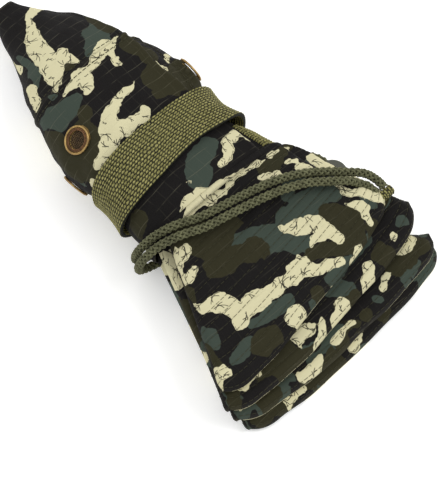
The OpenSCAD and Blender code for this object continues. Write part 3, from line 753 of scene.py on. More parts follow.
def camouflage_group(twigs):
    """Four-colour camouflage from the depths that the cloth's points carry."""
    w, g, out = new_group("Camouflage", "ShaderNodeTree", [
        ("Plan", "Vector", None), ("Cream Depth", "Float", 0.0),
        ("Olive Depth", "Float", 0.0), ("Green Depth", "Float", 0.0),
        ("Black", "Color", colour("100e0f")), ("Olive", "Color", colour("2c2a19")),
        ("Green", "Color", colour("3a443c")), ("Cream", "Color", colour("d2cca6")),
    ], [("Color", "Color"), ("Cream Mask", "Float"), ("Dark Mask", "Float")])
    plan = g["Plan"]
    wobble = w.noise(plan, 0.16, 2.0, 0.45)
    finer = w.noise(plan, 0.55, 1.0)
    shove = w.add(w.mul(w.sub(wobble, 0.5), 5.2),
                   w.mul(w.sub(finer, 0.5), 0.4))
    masks = {}
    for name in ("Green", "Olive", "Cream"):
        depth = w.add(g[name + " Depth"], shove)
        masks[name] = w.smooth(depth, -0.13, 0.13)
    base = w.mix(masks["Green"], g["Black"], g["Green"])
    base = w.mix(masks["Olive"], base, g["Olive"])
    small = w.group(twigs, Plan=plan, Cell=7.0, Width=0.27, Reach=1.7).outputs["Mask"]
    apart = w.vector("ADD", plan, (37.0, 11.0, 0.0))
    large = w.group(twigs, Plan=apart, Cell=11.0, Width=0.3, Reach=2.6).outputs["Mask"]
    strokes = w.math("MAXIMUM", small, large)
    inside = w.smooth(g["Cream Depth"], -0.6, 0.9)
    cream = w.mix(w.mul(strokes, inside), g["Cream"], colour("2b2a22"))
    # a thin dark print line just inside the cream's edge, broken by noise
    depth = w.add(g["Cream Depth"], shove)
    line = w.mul(w.smooth(depth, 0.25, 0.42), w.smooth(depth, 0.8, 0.62))
    broken = w.noise(plan, 0.28, 1.0)
    line = w.mul(line, w.smooth(broken, 0.55, 0.62))
    cream = w.mix(w.mul(line, 0.75), cream, colour("3a3826"))
    w.feed(out["Color"], w.mix(masks["Cream"], base, cream))
    w.feed(out["Cream Mask"], masks["Cream"])
    w.feed(out["Dark Mask"], w.sub(1.0, masks["Cream"]))
    return w.tree


def ripstop_group():
    """A fine twill with raised pale reinforcing threads every few mm. Height is in mm."""
    w, g, out = new_group("Ripstop weave", "ShaderNodeTree", [
        ("Plan", "Vector", None), ("Thread Pitch", "Float", 0.55),
        ("Rib Spacing", "Float", 6.4), ("Rib Width", "Float", 0.3),
    ], [("Rib Mask", "Float"), ("Height", "Float"), ("Grain", "Float")])
    plan = g["Plan"]
    drift = w.noise(plan, 0.05, 1.0)
    drift = w.mul(w.sub(drift, 0.5), 3.0)
    axes = w.node("ShaderNodeSeparateXYZ", {"Vector": plan})
    ribs = []
    for k, strength in ((1, 1.0), (0, 0.25)):
        at = w.add(axes.outputs[k], drift)
        near = w.math("ABSOLUTE", w.sub(w.math("FRACT", w.div(at, g["Rib Spacing"])), 0.5))
        near = w.mul(near, g["Rib Spacing"])
        rib = w.smooth(near, g["Rib Width"], w.mul(g["Rib Width"], 0.3))
        ribs.append(w.mul(rib, strength))
    rib = w.math("MAXIMUM", ribs[0], ribs[1])
    patchy = w.noise(plan, 0.11, 2.0)
    rib = w.mul(rib, w.smooth(patchy, 0.36, 0.62))
    waves = []
    for k in (0, 1):
        phase = w.mul(w.div(axes.outputs[k], g["Thread Pitch"]), 6.283)
        waves.append(w.math("SINE", phase))
    weave = w.add(w.mul(waves[0], 0.5), w.mul(waves[1], 0.5))
    grain = w.noise(plan, 2.2, 3.0, 0.7)
    height = w.add(w.mul(weave, 0.035), w.mul(rib, 0.11))
    height = w.add(height, w.mul(grain, 0.07))
    w.feed(out["Rib Mask"], rib)
    w.feed(out["Height"], height)
    w.feed(out["Grain"], grain)
    return w.tree


def wear_and_shade_group():
    """Paler worn edges, and painted shade that darkens the hollows, from the mesh's own pointiness, with
    noise.
    """
    w, g, out = new_group("Edge wear", "ShaderNodeTree", [
        ("Amount", "Float", 1.0), ("Grain Size", "Float", 900.0),
    ], [("Worn", "Float"), ("Hollow Shade", "Float")])
    shape = w.node("ShaderNodeNewGeometry").outputs["Pointiness"]
    place = w.place()
    grain = w.noise(place, g["Grain Size"], 3.0)
    lifted = w.add(shape, w.mul(w.sub(grain, 0.5), 0.05))
    w.feed(out["Worn"], w.mul(w.smooth(lifted, 0.52, 0.62), g["Amount"]))
    # painted shade: this output is high in the mesh's hollows
    w.feed(out["Hollow Shade"], w.mul(w.smooth(lifted, 0.49, 0.42), g["Amount"]))
    return w.tree


TWIGS = twig_group()
CAMOUFLAGE = camouflage_group(TWIGS)
RIPSTOP = ripstop_group()
WEAR_AND_SHADE = wear_and_shade_group()


# ---------------------------------------------------------------- materials


def new_material(name):
    made = bpy.data.materials.new(name)
    made.use_nodes = True
    w = Wiring(made.node_tree)
    return made, w, made.node_tree.nodes["Principled BSDF"].inputs


def bumped(w, height, distance, strength=1.0):
    bump_node = w.node("ShaderNodeBump", {"Height": height, "Distance": distance, "Strength": strength})
    return bump_node.outputs["Normal"]


def hat_cloth(name, rib_spacing=6.4, lit_share=1.0, rib_show=0.34):
    made, w, shader = new_material(name)
    uv = w.node("ShaderNodeUVMap", uv_map="cloth").outputs["UV"]
    plan = w.node("ShaderNodeMapping", {"Vector": uv, "Scale": (100, 100, 100)}).outputs["Vector"]
    print_ = w.group(CAMOUFLAGE, Plan=plan, Cream_Depth=w.named("cream"), Olive_Depth=w.named("olive"),
                     Green_Depth=w.named("green"))
    weave = w.group(RIPSTOP, Plan=plan, Rib_Spacing=rib_spacing)
    pale = w.mix(0.5, print_.outputs["Color"], colour("8f8b74"))
    rib = w.mul(weave.outputs["Rib Mask"], w.mul(print_.outputs["Dark Mask"], rib_show))
    body = w.mix(rib, print_.outputs["Color"], pale)
    # threads of the cloth's own weave catch the light unevenly
    speck = w.smooth(weave.outputs["Grain"], 0.3, 0.75)
    body = w.mix(w.mul(speck, 0.03), body, colour("8d8a7c"))
    wear_and_shade = w.group(WEAR_AND_SHADE, Amount=1.0, Grain_Size=700.0)
    body = w.mix(w.mul(wear_and_shade.outputs["Worn"], 0.05), body, colour("9a957c"))
    # painted shade: the hollows are darkened towards near-black
    body = w.mix(w.mul(wear_and_shade.outputs["Hollow Shade"], 0.4), body, colour("0d0c0b"))
    # painted shade: below 1, the whole cloth is darkened towards near-black
    if lit_share < 1:
        body = w.mix(1 - lit_share, body, colour("0a0a09"))
    w.feed(shader["Base Color"], body)
    w.feed(shader["Roughness"], w.add(0.74, w.mul(weave.outputs["Grain"], 0.2)))
    shader["Specular IOR Level"].default_value = 0.14
    w.feed(shader["Normal"], bumped(w, weave.outputs["Height"], 0.0011))
    return made


def thread_material(name, dark, light, size=1100.0, rough=0.6, worn=0.25):
    """Spun thread: short streaks of two tones."""
    made, w, shader = new_material(name)
    place = w.place()
    fleck = w.noise(place, size, 3.0, 0.65)
    broad = w.noise(place, size * 0.12, 2.0)
    tone = w.add(w.mul(fleck, 0.65), w.mul(broad, 0.35))
    body = w.mix(w.smooth(tone, 0.36, 0.66), colour(dark), colour(light))
    wear_and_shade = w.group(WEAR_AND_SHADE, Amount=1.0, Grain_Size=1500.0)
    # painted shade: the hollows are darkened towards near-black
    body = w.mix(w.mul(wear_and_shade.outputs["Hollow Shade"], 0.75), body, colour("14150b"))
    body = w.mix(w.mul(wear_and_shade.outputs["Worn"], worn), body, colour("c5c592"))
    w.feed(shader["Base Color"], body)
    w.feed(shader["Roughness"], w.add(rough, w.mul(fleck, 0.2)))
    shader["Specular IOR Level"].default_value = 0.2
    w.feed(shader["Normal"], bumped(w, fleck, 0.00025, 0.8))
    return made


def webbing_material():
    made, w, shader = new_material("Olive cotton webbing")
    relief = w.named("relief")
    place = w.place()
    fleck = w.noise(place, 1500.0, 2.0, 0.6)
    broad = w.noise(place, 90.0, 2.0)
    # painted shade: the low parts of the weave between the raised floats go near-black, the floats take the
    # olive thread colour
    low = w.mix(w.smooth(broad, 0.35, 0.65), colour("0d0e05"), colour("181909"))
    high = w.mix(w.smooth(fleck, 0.32, 0.68), colour("66632f"), colour("aea86c"))
    body = w.mix(w.smooth(relief, 0.26, 0.95), low, high)
    w.feed(shader["Base Color"], body)
    w.feed(shader["Roughness"], w.add(0.62, w.mul(fleck, 0.25)))
    shader["Specular IOR Level"].default_value = 0.25
    w.feed(shader["Normal"], bumped(w, fleck, 0.0002, 0.7))
    return made


def metal_material(name, base, tarnish, rough, metallic=1.0, worn=0.45):
    made, w, shader = new_material(name)
    place = w.place()
    mottle = w.noise(place, 380.0, 4.0, 0.6)
    fine = w.noise(place, 2400.0, 2.0)
    wear_and_shade = w.group(WEAR_AND_SHADE, Amount=1.0, Grain_Size=1200.0)
    body = w.mix(w.smooth(mottle, 0.35, 0.68), colour(base), colour(tarnish))
    # painted shade: the hollows are darkened towards dark brown
    body = w.mix(w.mul(wear_and_shade.outputs["Hollow Shade"], 0.7), body, colour("241408"))
    body = w.mix(w.mul(wear_and_shade.outputs["Worn"], worn), body, colour("dfb585"))
    w.feed(shader["Base Color"], body)
    shader["Metallic"].default_value = metallic
    w.feed(shader["Roughness"], w.add(rough, w.mul(mottle, 0.22)))
    w.feed(shader["Normal"], bumped(w, fine, 0.00008, 0.6))
    return made


def plastic_material(name, base, rough):
    made, w, shader = new_material(name)
    place = w.place()
    grain = w.noise(place, 1800.0, 3.0)
    patch = w.noise(place, 160.0, 2.0)
    wear_and_shade = w.group(WEAR_AND_SHADE, Amount=1.0, Grain_Size=900.0)
    body = w.mix(w.mul(patch, 0.35), colour(base), colour("2c2d24"))
    body = w.mix(w.mul(wear_and_shade.outputs["Worn"], 0.35), body, colour("7b7d6d"))
    w.feed(shader["Base Color"], body)
    w.feed(shader["Roughness"], w.add(rough, w.mul(grain, 0.18)))
    w.feed(shader["Normal"], bumped(w, grain, 0.00006, 0.7))
    return made


CLOTH = hat_cloth("Camouflage ripstop")
BRIM_CLOTH = hat_cloth("Quilted camouflage ripstop", rib_spacing=5.7, rib_show=0.16)
# the cloth inside the crown, darkened towards near-black: painted shade
SHADED_LINING = hat_cloth("Lining in painted shade", lit_share=0.55)
STITCHING = thread_material("Stitching thread", "1b1a13", "34321f", 1600.0, 0.6, 0.04)
CORD_YARN = thread_material("Braided cord yarn", "252619", "5f6046", 1500.0, 0.6, 0.12)
# a near-black core that shows in the gaps between the yarns: painted shade
SHADED_CORD_CORE = thread_material("Cord core in painted shade", "060603", "0e0d08", 900.0, 0.8)
WEBBING = webbing_material()
TACKS = thread_material("Bar tack thread", "3d4222", "6a6f3e", 1600.0, 0.6)
COPPER = metal_material("Aged copper", "a98f55", "745d37", 0.34, 1.0, 0.2)
GAUZE = metal_material("Brown gauze", "5e4a2c", "3a2a17", 0.6, 0.2, 0.0)
# a darker copy of the copper for the eyelets' inner rings: painted shade
SHADED_COPPER = metal_material("Shaded copper", "6b4526", "3d2512", 0.5, 0.6, 0.1)
STEEL = metal_material("Spring steel", "9fa2a5", "6f7276", 0.28)
PLASTIC = plastic_material("Moulded olive plastic", "35372b", 0.42)
BUTTON_PLASTIC = plastic_material("Moulded black plastic", "1b1c19", 0.38)

# ---------------------------------------------------------------- geometry trees


def grow(source, tree, values, name):
    """Runs one geometry tree on an object and keeps the result as a plain mesh."""
    mod = source.modifiers.new("grow", "NODES")
    mod.node_group = tree
    for item in tree.interface.items_tree:
        if item.item_type == "SOCKET" and item.in_out == "INPUT" and item.name in values:
            mod[item.identifier] = values[item.name]
    bpy.context.view_layer.update()
    graph = bpy.context.evaluated_depsgraph_get()
    mesh = bpy.data.meshes.new_from_object(source.evaluated_get(graph), preserve_all_data_layers=True,
                                           depsgraph=graph)
    mesh.name = name
    made = new_object(name, mesh)
    bpy.data.objects.remove(source)
    mesh.polygons.foreach_set("use_smooth", [True] * len(mesh.polygons))
    mesh.update()
    return made


def path_object(name, routes):
    """Loose edges along routes of (s, y, z) points in mm."""
    points, edges = [], []
    for route in routes:
        first = len(points)
        points.extend(placed(route).tolist())
        edges.extend((first + k, first + k + 1) for k in range(len(route) - 1))
    mesh = bpy.data.meshes.new(name)
    mesh.from_pydata(points, edges, [])
    return new_object(name, mesh)


def braid_tree():
    """Round braid: carriers of yarn wound both ways round a core, each over and under the others."""
    w, g, out = new_group("Round braid", "GeometryNodeTree", [
        ("Path", "Geometry", None), ("Step", "Float", 0.0006),
        ("Carriers", "Int", 8), ("Lay", "Float", 0.0128), ("Radius", "Float", 0.00148),
        ("Crossing", "Float", 0.0004), ("Yarn Radius", "Float", 0.0006),
        ("Core Radius", "Float", 0.0009), ("Yarn", "Material", None),
        ("Core", "Material", None),
    ], [("Braid", "Geometry")])
    curve = w.node("GeometryNodeMeshToCurve", {"Mesh": g["Path"]}).outputs["Curve"]
    even = w.resampled(curve, g["Step"])
    copies = w.node("GeometryNodeDuplicateElements", {"Geometry": even, "Amount": g["Carriers"]},
                    domain="SPLINE")
    index = copies.outputs["Duplicate Index"]
    length = w.node("GeometryNodeSplineParameter").outputs["Length"]
    turn = w.mul(w.div(length, g["Lay"]), 2 * math.pi)
    odd = w.math("MODULO", index, 2.0)
    way = w.sub(1.0, w.mul(odd, 2.0))
    start = w.mul(w.math("FLOOR", w.div(index, 2.0)),
                   w.div(4 * math.pi, g["Carriers"]))
    angle = w.add(w.mul(turn, way), start)
    over = w.mul(w.math("COSINE", w.mul(turn, w.div(g["Carriers"], 2.0))), way)
    radius = w.add(g["Radius"], w.mul(over, g["Crossing"]))
    normal = w.node("GeometryNodeInputNormal").outputs[0]
    tangent = w.node("GeometryNodeInputTangent").outputs[0]
    side = w.vector("CROSS_PRODUCT", tangent, normal)
    shift = w.vector("ADD", w.vector("SCALE", normal, w.mul(w.math("COSINE", angle), radius)),
                     w.vector("SCALE", side, w.mul(w.math("SINE", angle), radius)))
    wound = w.shifted(copies.outputs["Geometry"], shift)
    yarns = w.tube(wound, g["Yarn Radius"], 6)
    yarns = w.painted(yarns, g["Yarn"])
    coarse = w.resampled(curve, 0.0015)
    core = w.tube(coarse, g["Core Radius"], 8)
    # the core's material is near-black: painted shade in the gaps between the yarns
    core = w.painted(core, g["Core"])
    both = w.node("GeometryNodeJoinGeometry")
    w.tree.links.new(core, both.inputs[0])
    w.tree.links.new(yarns, both.inputs[0])
    real = w.realised(both.outputs[0])
    w.feed(out["Braid"], real)
    return w.tree


def stitch_tree():
    """Rows of short stitches along the given edges."""
    w, g, out = new_group("Stitch rows", "GeometryNodeTree", [
        ("Rows", "Geometry", None), ("Pitch", "Float", 0.0030),
        ("Length", "Float", 0.0021), ("Thread Radius", "Float", 0.00022),
        ("Looseness", "Float", 0.06), ("Seed", "Int", 5), ("Thread", "Material", None),
    ], [("Stitches", "Geometry")])
    curve = w.node("GeometryNodeMeshToCurve", {"Mesh": g["Rows"]}).outputs["Curve"]
    points = w.node("GeometryNodeCurveToPoints", {"Curve": curve, "Length": g["Pitch"]}, mode="LENGTH")
    bar = w.node("GeometryNodeMeshCylinder", {"Vertices": 5, "Side Segments": 1, "Radius": g["Thread Radius"],
                                              "Depth": g["Length"]}).outputs["Mesh"]
    jitter = w.node("FunctionNodeRandomValue", {"Seed": g["Seed"]}, data_type="FLOAT_VECTOR")
    jitter.inputs["Min"].default_value = (-1, -1, -1)
    jitter.inputs["Max"].default_value = (1, 1, 1)
    stray = w.vector("SCALE", jitter.outputs["Value"], g["Looseness"])
    aim = w.vector("ADD", points.outputs["Tangent"], stray)
    lie = w.node("FunctionNodeAlignRotationToVector", {"Vector": aim}, axis="Z").outputs[0]
    laid = w.node("GeometryNodeInstanceOnPoints", {"Points": points.outputs["Points"], "Instance": bar,
                                                   "Rotation": lie}).outputs[0]
    real = w.realised(laid)
    done = w.painted(real, g["Thread"])
    w.feed(out["Stitches"], done)
    return w.tree


def webbing_tree():
    """Raises the floats of a basket weave on a strap. Plan is in mm: X along the strap, Y across."""
    w, g, out = new_group("Webbing weave", "GeometryNodeTree", [
        ("Strap", "Geometry", None), ("Row Width", "Float", 1.25),
        ("Float Length", "Float", 2.3), ("Relief", "Float", 0.00042),
        ("Surface", "Material", None),
    ], [("Woven", "Geometry")])

    def named(label):
        read = w.node("GeometryNodeInputNamedAttribute", data_type="FLOAT")
        read.inputs["Name"].default_value = label
        return read.outputs[0]

    row = w.div(named("across"), g["Row Width"])
    parity = w.math("MODULO", w.math("FLOOR", row), 2.0)
    at = w.add(w.div(named("along"), g["Float Length"]), w.mul(parity, 0.5))
    u = w.math("ABSOLUTE", w.math("SINE", w.mul(row, math.pi)))
    v = w.math("ABSOLUTE", w.math("SINE", w.mul(at, math.pi)))
    height = w.mul(w.math("POWER", u, 0.7), w.add(0.18, w.mul(w.math("POWER", v, 0.6), 0.82)))
    height = w.mul(height, named("shown"))
    normal = w.node("GeometryNodeInputNormal").outputs[0]
    shift = w.vector("SCALE", normal, w.mul(height, g["Relief"]))
    raised = w.shifted(g["Strap"], shift)
    store = w.node("GeometryNodeStoreNamedAttribute", {"Geometry": raised, "Value": height},
                   data_type="FLOAT", domain="POINT")
    store.inputs["Name"].default_value = "relief"
    real = w.realised(store.outputs[0])
    done = w.painted(real, g["Surface"])
    w.feed(out["Woven"], done)
    return w.tree


BRAID = braid_tree()
STITCHES = stitch_tree()
WEAVE = webbing_tree()


def sewn(name, rows, pitch=3.0, length=2.1, thread=0.22, material=None, seed=5):
    """Stitches along rows of points."""
    made = grow(path_object(name + "_rows", rows), STITCHES, {
        "Pitch": pitch * MM, "Length": length * MM, "Thread Radius": thread * MM, "Seed": seed,
        "Thread": material or STITCHING}, name)
    return made


# ---------------------------------------------------------------- chin cord


def braided(name, route):
    fine, length = smooth_route(route)
    made = grow(path_object(name + "_path", [fine]), BRAID, {
        "Step": 0.6 * MM, "Yarn": CORD_YARN, "Core": SHADED_CORD_CORE}, name)
    return made, fine, length


cords = []
for letter, route in (("a", STRAND_A), ("b", STRAND_B)):
    made, fine, length = braided("chin_cord_" + letter, route)
    cords.append((made, "cord_strand_" + letter, fine, length))

# the knot: both strands wrapped round themselves, with two short ends
KNOT = np.array([199.6, 58.5, 6.4])
turns = np.linspace(0, 2 * math.pi * 2.0, 60)
wrap_route = np.stack([KNOT[0] + 1.6 + 6.6 * turns / turns[-1], KNOT[1] + 3.4 * np.cos(turns),
                       KNOT[2] + 3.3 * np.sin(turns)], -1)
tails = [
    np.array([(199.5, 58.5 + k * 1.6, 6.4), (204, 58.5 + k * 1.9, 6.3),
              (209.5, 58.5 + k * 2.4, 5.6), (213, 58.5 + k * 3.0, 4.4)])
    for k in (-1, 1)
]
knot_fine = [smooth_route(wrap_route[::6])[0]] + [smooth_route(t)[0] for t in tails]
knot = grow(path_object("cord_knot_path", knot_fine), BRAID, {
    "Step": 0.7 * MM, "Yarn": CORD_YARN, "Core": SHADED_CORD_CORE}, "cord_knot_wraps")
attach(knot, "hat")
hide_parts("cord_knot")

for made, node, fine, length in cords:
    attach(made, "hat")
    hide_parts(node)

# ---------------------------------------------------------------- crown


def crown_camouflage(s, arc, turn):
    flat = np.stack([arc, s], -1)
    angle = (turn + 90) % 360 - 90
    hand = ramp(angle, -2, 14) * (1 - ramp(angle, 172, 190))
    drawn = (CROWN_CREAM, CROWN_OLIVE, CROWN_GREEN)
    return camouflage_fields(flat, drawn, hand, 300)


def crown_piece(name, ss, turns, nose=False):
    outer, arc, s, turn = crown_grid(ss, turns)
    inner, _, _, _ = crown_grid(ss, turns, out=-CLOTH_T)
    rows, cols = s.shape
    points = [outer.reshape(-1, 3), inner.reshape(-1, 3)]
    faces = cloth_faces(rows, cols, wrap=True)
    faces = faces.tolist()
    fields = crown_camouflage(s, arc, turn)
    fields = doubled(fields)
    uv = np.stack([arc, s], -1).reshape(-1, 2) / 100
    uv = np.concatenate([uv, uv + 3])
    if nose:
        n = rows * cols
        faces = faces[:-2 * cols] + faces[-cols:]
        points.append(outer[:1].mean(axis=1) - [[0.9, 0, 0]])
        points.append(inner[:1].mean(axis=1) + [[1.2, 0, 0]])
        faces += [(2 * n, (j + 1) % cols, j) for j in range(cols)]
        faces += [(2 * n + 1, n + j, n + (j + 1) % cols) for j in range(cols)]
        fields = {k: np.concatenate([v, v[:1], v[:1]]) for k, v in fields.items()}
        uv = np.concatenate([uv, uv[:1], uv[:1]])
    made = make_mesh(name, np.concatenate(points), faces, [CLOTH], fields, uv)
    return made


TURNS = np.linspace(-90, 270, 221)[:-1]
NOSE_SS = [-4.4, -4.2, -3.7, -2.9, -1.8, -0.6, 0.8, 2.2, 3.6]
top_ss = np.concatenate([NOSE_SS, np.linspace(5, TOP_PANEL_LEN, 52)])
wall_ss = np.linspace(TOP_PANEL_LEN - 0.2, CROWN_LEN, 92)
crown_top = crown_piece("crown_top", top_ss, TURNS, nose=True)
crown_wall = crown_piece("crown_wall", wall_ss, TURNS)


def eyelet_frame(i):
    """Place, outward direction and two directions across for an eyelet, in mm."""
    s, turn = EYELETS[i]
    p = crown_smooth(np.array([s, s + 1, s - 1, s, s]), np.array([turn, turn, turn, turn - 1, turn + 1.0]))
    n = np.cross(p[1] - p[2], p[3] - p[4])
    n /= np.linalg.norm(n)
    a = np.cross(n, [0, 0, 1.0])
    a /= np.linalg.norm(a)
    return p[0], n, a, np.cross(n, a)


def seat_eyelets(obj):
    """Flattens the cloth under each flange and opens its hole."""
    mesh = obj.data
    points = np.empty(len(mesh.vertices) * 3)
    mesh.vertices.foreach_get("co", points)
    points = points.reshape(-1, 3) / MM + MIDDLE
    half = len(points) // 2
    hole = np.zeros(half, bool)
    for i in range(4):
        centre, n, _, _ = eyelet_frame(i)
        rel = points - centre
        h = rel @ n
        flat = rel - h[:, None] * n
        r = np.linalg.norm(flat, axis=1)
        near = (r < 12) & (h > -4)
        outer = near & (np.arange(len(points)) < half)
        w = 1 - ramp(r, EYELET_OD / 2 - 0.5, 12)
        target = np.where(outer, -0.35, -0.35 - CLOTH_T)
        move = (target - h) * w * near
        points += move[:, None] * n
        hole |= (near & (r < EYELET_OD / 2 - 1.9))[:half]
    mesh.vertices.foreach_set("co", placed(points).ravel())
    bm = bmesh.new()
    bm.from_mesh(mesh)
    bm.verts.ensure_lookup_table()
    pairs = {v: bm.verts[v.index + half] for v in bm.verts if v.index < half and not hole[v.index]}
    gone = [v for v in bm.verts if hole[v.index % half]]
    bmesh.ops.delete(bm, geom=gone, context="VERTS")
    for edge in [e for e in bm.edges if e.is_boundary and e.verts[0] in pairs and e.verts[1] in pairs]:
        loop = edge.link_loops[0]
        first, second = loop.edge.verts if loop.vert == edge.verts[0] else reversed(edge.verts)
        face = bm.faces.new((second, first, pairs[first], pairs[second]))
        face.smooth = True
    bm.to_mesh(mesh)
    bm.free()
    mesh.update()


seat_eyelets(crown_wall)


def declare_cloth(obj, nodes, body="hat"):
    if body:
        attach(obj, body)
    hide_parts(*nodes)


def crown_rows(lines, out):
    """Rows of points on the crown's cloth for given lines of (s, turn)."""
    rows = []
    for ss, turns in lines:
        span = np.linspace(min(ss) - 1, max(ss) + 1, 61)
        grid, _, _, _ = crown_grid(span, np.linspace(-90, 270, 361), wrap=False)
        n = surface_normals(grid, False)
        i = np.interp(ss, span, np.arange(61)).round().astype(int)
        j = np.interp(turns, np.linspace(-90, 270, 361), np.arange(361)).round().astype(int)
        rows.append(grid[i, j] + n[i, j] * out)
    return rows


ROUND = np.linspace(-89, 269, 240)
seam_rows = crown_rows([(np.full(240, TOP_PANEL_LEN + d), ROUND) for d in (-2.6, 2.6)], 0.12)
wall_s = np.linspace(TOP_PANEL_LEN + 3, BAND_S + 1, 50)
seam_rows += crown_rows([(wall_s, np.full(50, seam + d)) for seam in PANEL_SEAMS for d in (-2.5, 2.5)], 0.12)
crown_stitches = sewn("crown_stitches", seam_rows, seed=3)
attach(crown_stitches, "hat")

declare_cloth(crown_top, ["crown_top_panel"])
declare_cloth(crown_wall, ["crown_wall_upper", "crown_wall_lower"])

# ---------------------------------------------------------------- lining and sweatband


def pleats(name):
    """The rest of the crown's cloth, folded in on itself inside the crown."""
    ss = np.linspace(20, CROWN_LEN - 1, 60)
    turns = np.linspace(-180, 180, 161)[:-1]
    outer, arc, s, turn = crown_grid(ss, turns, out=-5.2, relief=False)
    centre = outer.mean(axis=1, keepdims=True)
    # four deep folds that reach in towards the middle
    fold = 0.55 * (0.5 + 0.5 * np.cos(np.radians(turn * 4 + 20))) ** 2
    outer = outer + (centre - outer) * fold[..., None]
    n = surface_normals(outer, True)
    inner = outer - n * 0.8
    faces = cloth_faces(len(ss), len(turns), wrap=True)
    fields = crown_camouflage(s, arc, turn - 180)
    fields = doubled(fields)
    uv = np.concatenate([np.stack([arc, s], -1).reshape(-1, 2) / 100] * 2)
    # the cloth folded inside the crown is darkened with painted shade
    return make_mesh(name, stacked(outer, inner), faces, [SHADED_LINING], fields, uv)


crown_folds = pleats("crown_folds")
declare_cloth(crown_folds, ["crown_pleat_upper", "crown_pleat_lower"])


def sweatband_piece():
    ss = np.linspace(CROWN_LEN - 24, CROWN_LEN - 2, 14)
    turns = np.linspace(-90, 270, 161)[:-1]
    outer, arc, s, _ = crown_grid(ss, turns, out=-2.6, relief=False)
    inner, _, _, _ = crown_grid(ss, turns, out=-3.9, relief=False)
    faces = cloth_faces(len(ss), len(turns), wrap=True)
    uv = np.concatenate([np.stack([arc, s], -1).reshape(-1, 2) / 100] * 2)
    zeros = np.full(2 * s.size, -20.0)
    fields = {"cream": zeros, "olive": zeros, "green": zeros}
    # the sweatband is darkened with painted shade
    return make_mesh("sweatband_tape", stacked(outer, inner), faces,
                     [SHADED_LINING], fields, uv)


sweatband = sweatband_piece()
declare_cloth(sweatband, ["sweatband"])

# ---------------------------------------------------------------- brim


def brim_camouflage(leaf, outer, side):
    s, y = outer[..., 0], outer[..., 1]
    plan = np.stack([y, s], -1)
    top = (1 - ramp(side, 0.3, 0.9))[None, :] * np.ones_like(s)
    if leaf == 0:
        drawn = [BRIM_CREAM + RIM_CREAM[0], BRIM_OLIVE + RIM_OLIVE[0], BRIM_GREEN + RIM_GREEN[0]]
        hand = top
    else:
        drawn = [RIM_CREAM[leaf], RIM_OLIVE[leaf], RIM_GREEN[leaf]]
        rim = outer[-1:, :, 0]
        hand = top * ramp(rim - s, 26, 16)
    plan = plan + (side * 15)[None, :, None] * np.array([-1, 0.3])
    return camouflage_fields(plan, drawn, hand, 100 + 83 * leaf, 0.13 if leaf else 1.0)


def leaf_piece(leaf):
    outer, inner, side = leaf_sheet(leaf)
    rows, cols = outer.shape[:2]
    faces = cloth_faces(rows, cols, wrap=False)
    fields = brim_camouflage(leaf, outer, side)
    fields = doubled(fields)
    plan = np.stack([outer[..., 1] + 150 * leaf - 15 * side[None, :], outer[..., 0]], -1).reshape(-1, 2) / 100
    points = stacked(outer, inner)
    made = make_mesh(f"brim_cloth_{leaf + 1}", points, faces, [BRIM_CLOTH], fields,
                     np.concatenate([plan, plan]))
    per_row = (LEAF_ROWS - 1) // QUILT_ROWS
    rows_at = [k * per_row for k in range(1, QUILT_ROWS)] + [LEAF_ROWS - 2]
    if leaf:  # the leaves underneath show only near their rims
        rows_at = rows_at[-7:]
    lift = np.array([0, 0, 0.1])
    routes = [outer[k, 1:LEAF_SPAN + LEAF_TURN - 2] + lift for k in rows_at]
    if leaf == 3:
        routes += [outer[k, LEAF_SPAN + LEAF_TURN + 2:-1] + [0, 0, 0.05] for k in rows_at]
    stitches = sewn(f"brim_stitches_{leaf + 1}", routes, pitch=3.1, length=2.2, thread=0.13, seed=30 + leaf)
    return made, stitches


LEAF_NODES = [
    ["brim_leaf_1_root", "brim_leaf_1_flap"], ["brim_leaf_2_root", "brim_leaf_2_flap"],
    ["brim_leaf_3"], ["brim_leaf_4"],
]
for leaf in range(4):
    piece, stitches = leaf_piece(leaf)
    if leaf < 2:
        for obj in (piece, stitches):
            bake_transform(obj)
    else:
        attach(stitches, "hat")
    declare_cloth(piece, LEAF_NODES[leaf], body=None if leaf < 2 else "hat")


def seam_piping():
    """The raised seam between crown and brim."""
    turns = np.linspace(-90, 270, 241)[:-1]
    base = crown_smooth(np.full(240, CROWN_LEN), turns)
    base[:, 0] = SEAM_S + 0.9
    out = crown_smooth(np.full(240, CROWN_LEN), turns, 1.0) - crown_smooth(np.full(240, CROWN_LEN), turns)
    out[:, 0] = 0
    out /= np.linalg.norm(out, axis=1, keepdims=True)
    around = np.radians(np.arange(0, 360, 30))
    ring = (base[:, None] + out[:, None] * (0.3 + 0.95 * np.sin(around))[None, :, None]
            + np.array([1, 0, 0]) * (1.9 * np.cos(around))[None, :, None])
    ring[..., 2] = np.maximum(ring[..., 2], 0.2)
    faces = grid_quads(241, 12, 0, wrap=True)
    faces = np.where(faces >= 240 * 12, faces - 240 * 12, faces)
    arc = np.repeat(np.linspace(150, -150, 240), 12)
    s = ring[..., 0].ravel()
    plan = np.stack([ring[..., 1].ravel(), s], -1)
    up = ramp(ring[..., 2].ravel(), 10, 20)
    fields = camouflage_fields(plan, (BRIM_CREAM, BRIM_OLIVE, BRIM_GREEN), up, 500)
    return make_mesh("seam_piping", ring.reshape(-1, 3), faces[:, ::-1], [CLOTH],
                     fields, np.stack([arc, s], -1) / 100)


piping = seam_piping()
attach(piping, "hat")

# ---------------------------------------------------------------- webbing


def band_edges(arc):
    """Upper edge and width of the webbing round the crown, in mm."""
    upper = BAND_S + 1.2 * np.cos(arc / 40) + 0.8 * bump(arc, -40, 18) + 4.5 * bump(arc, -62, 20)
    width = BAND_W - 1.8 * bump(arc, 10, 16) + 1.0 * bump(arc, -30, 20) - 2.5 * bump(arc, -62, 20)
    return upper, width


def band_lift_at(arc):
    """How far the lower edge stands off the crown."""
    return 1.3 + 2.2 * bump(arc, 34, 9) + 1.2 * bump(arc, -52, 14)


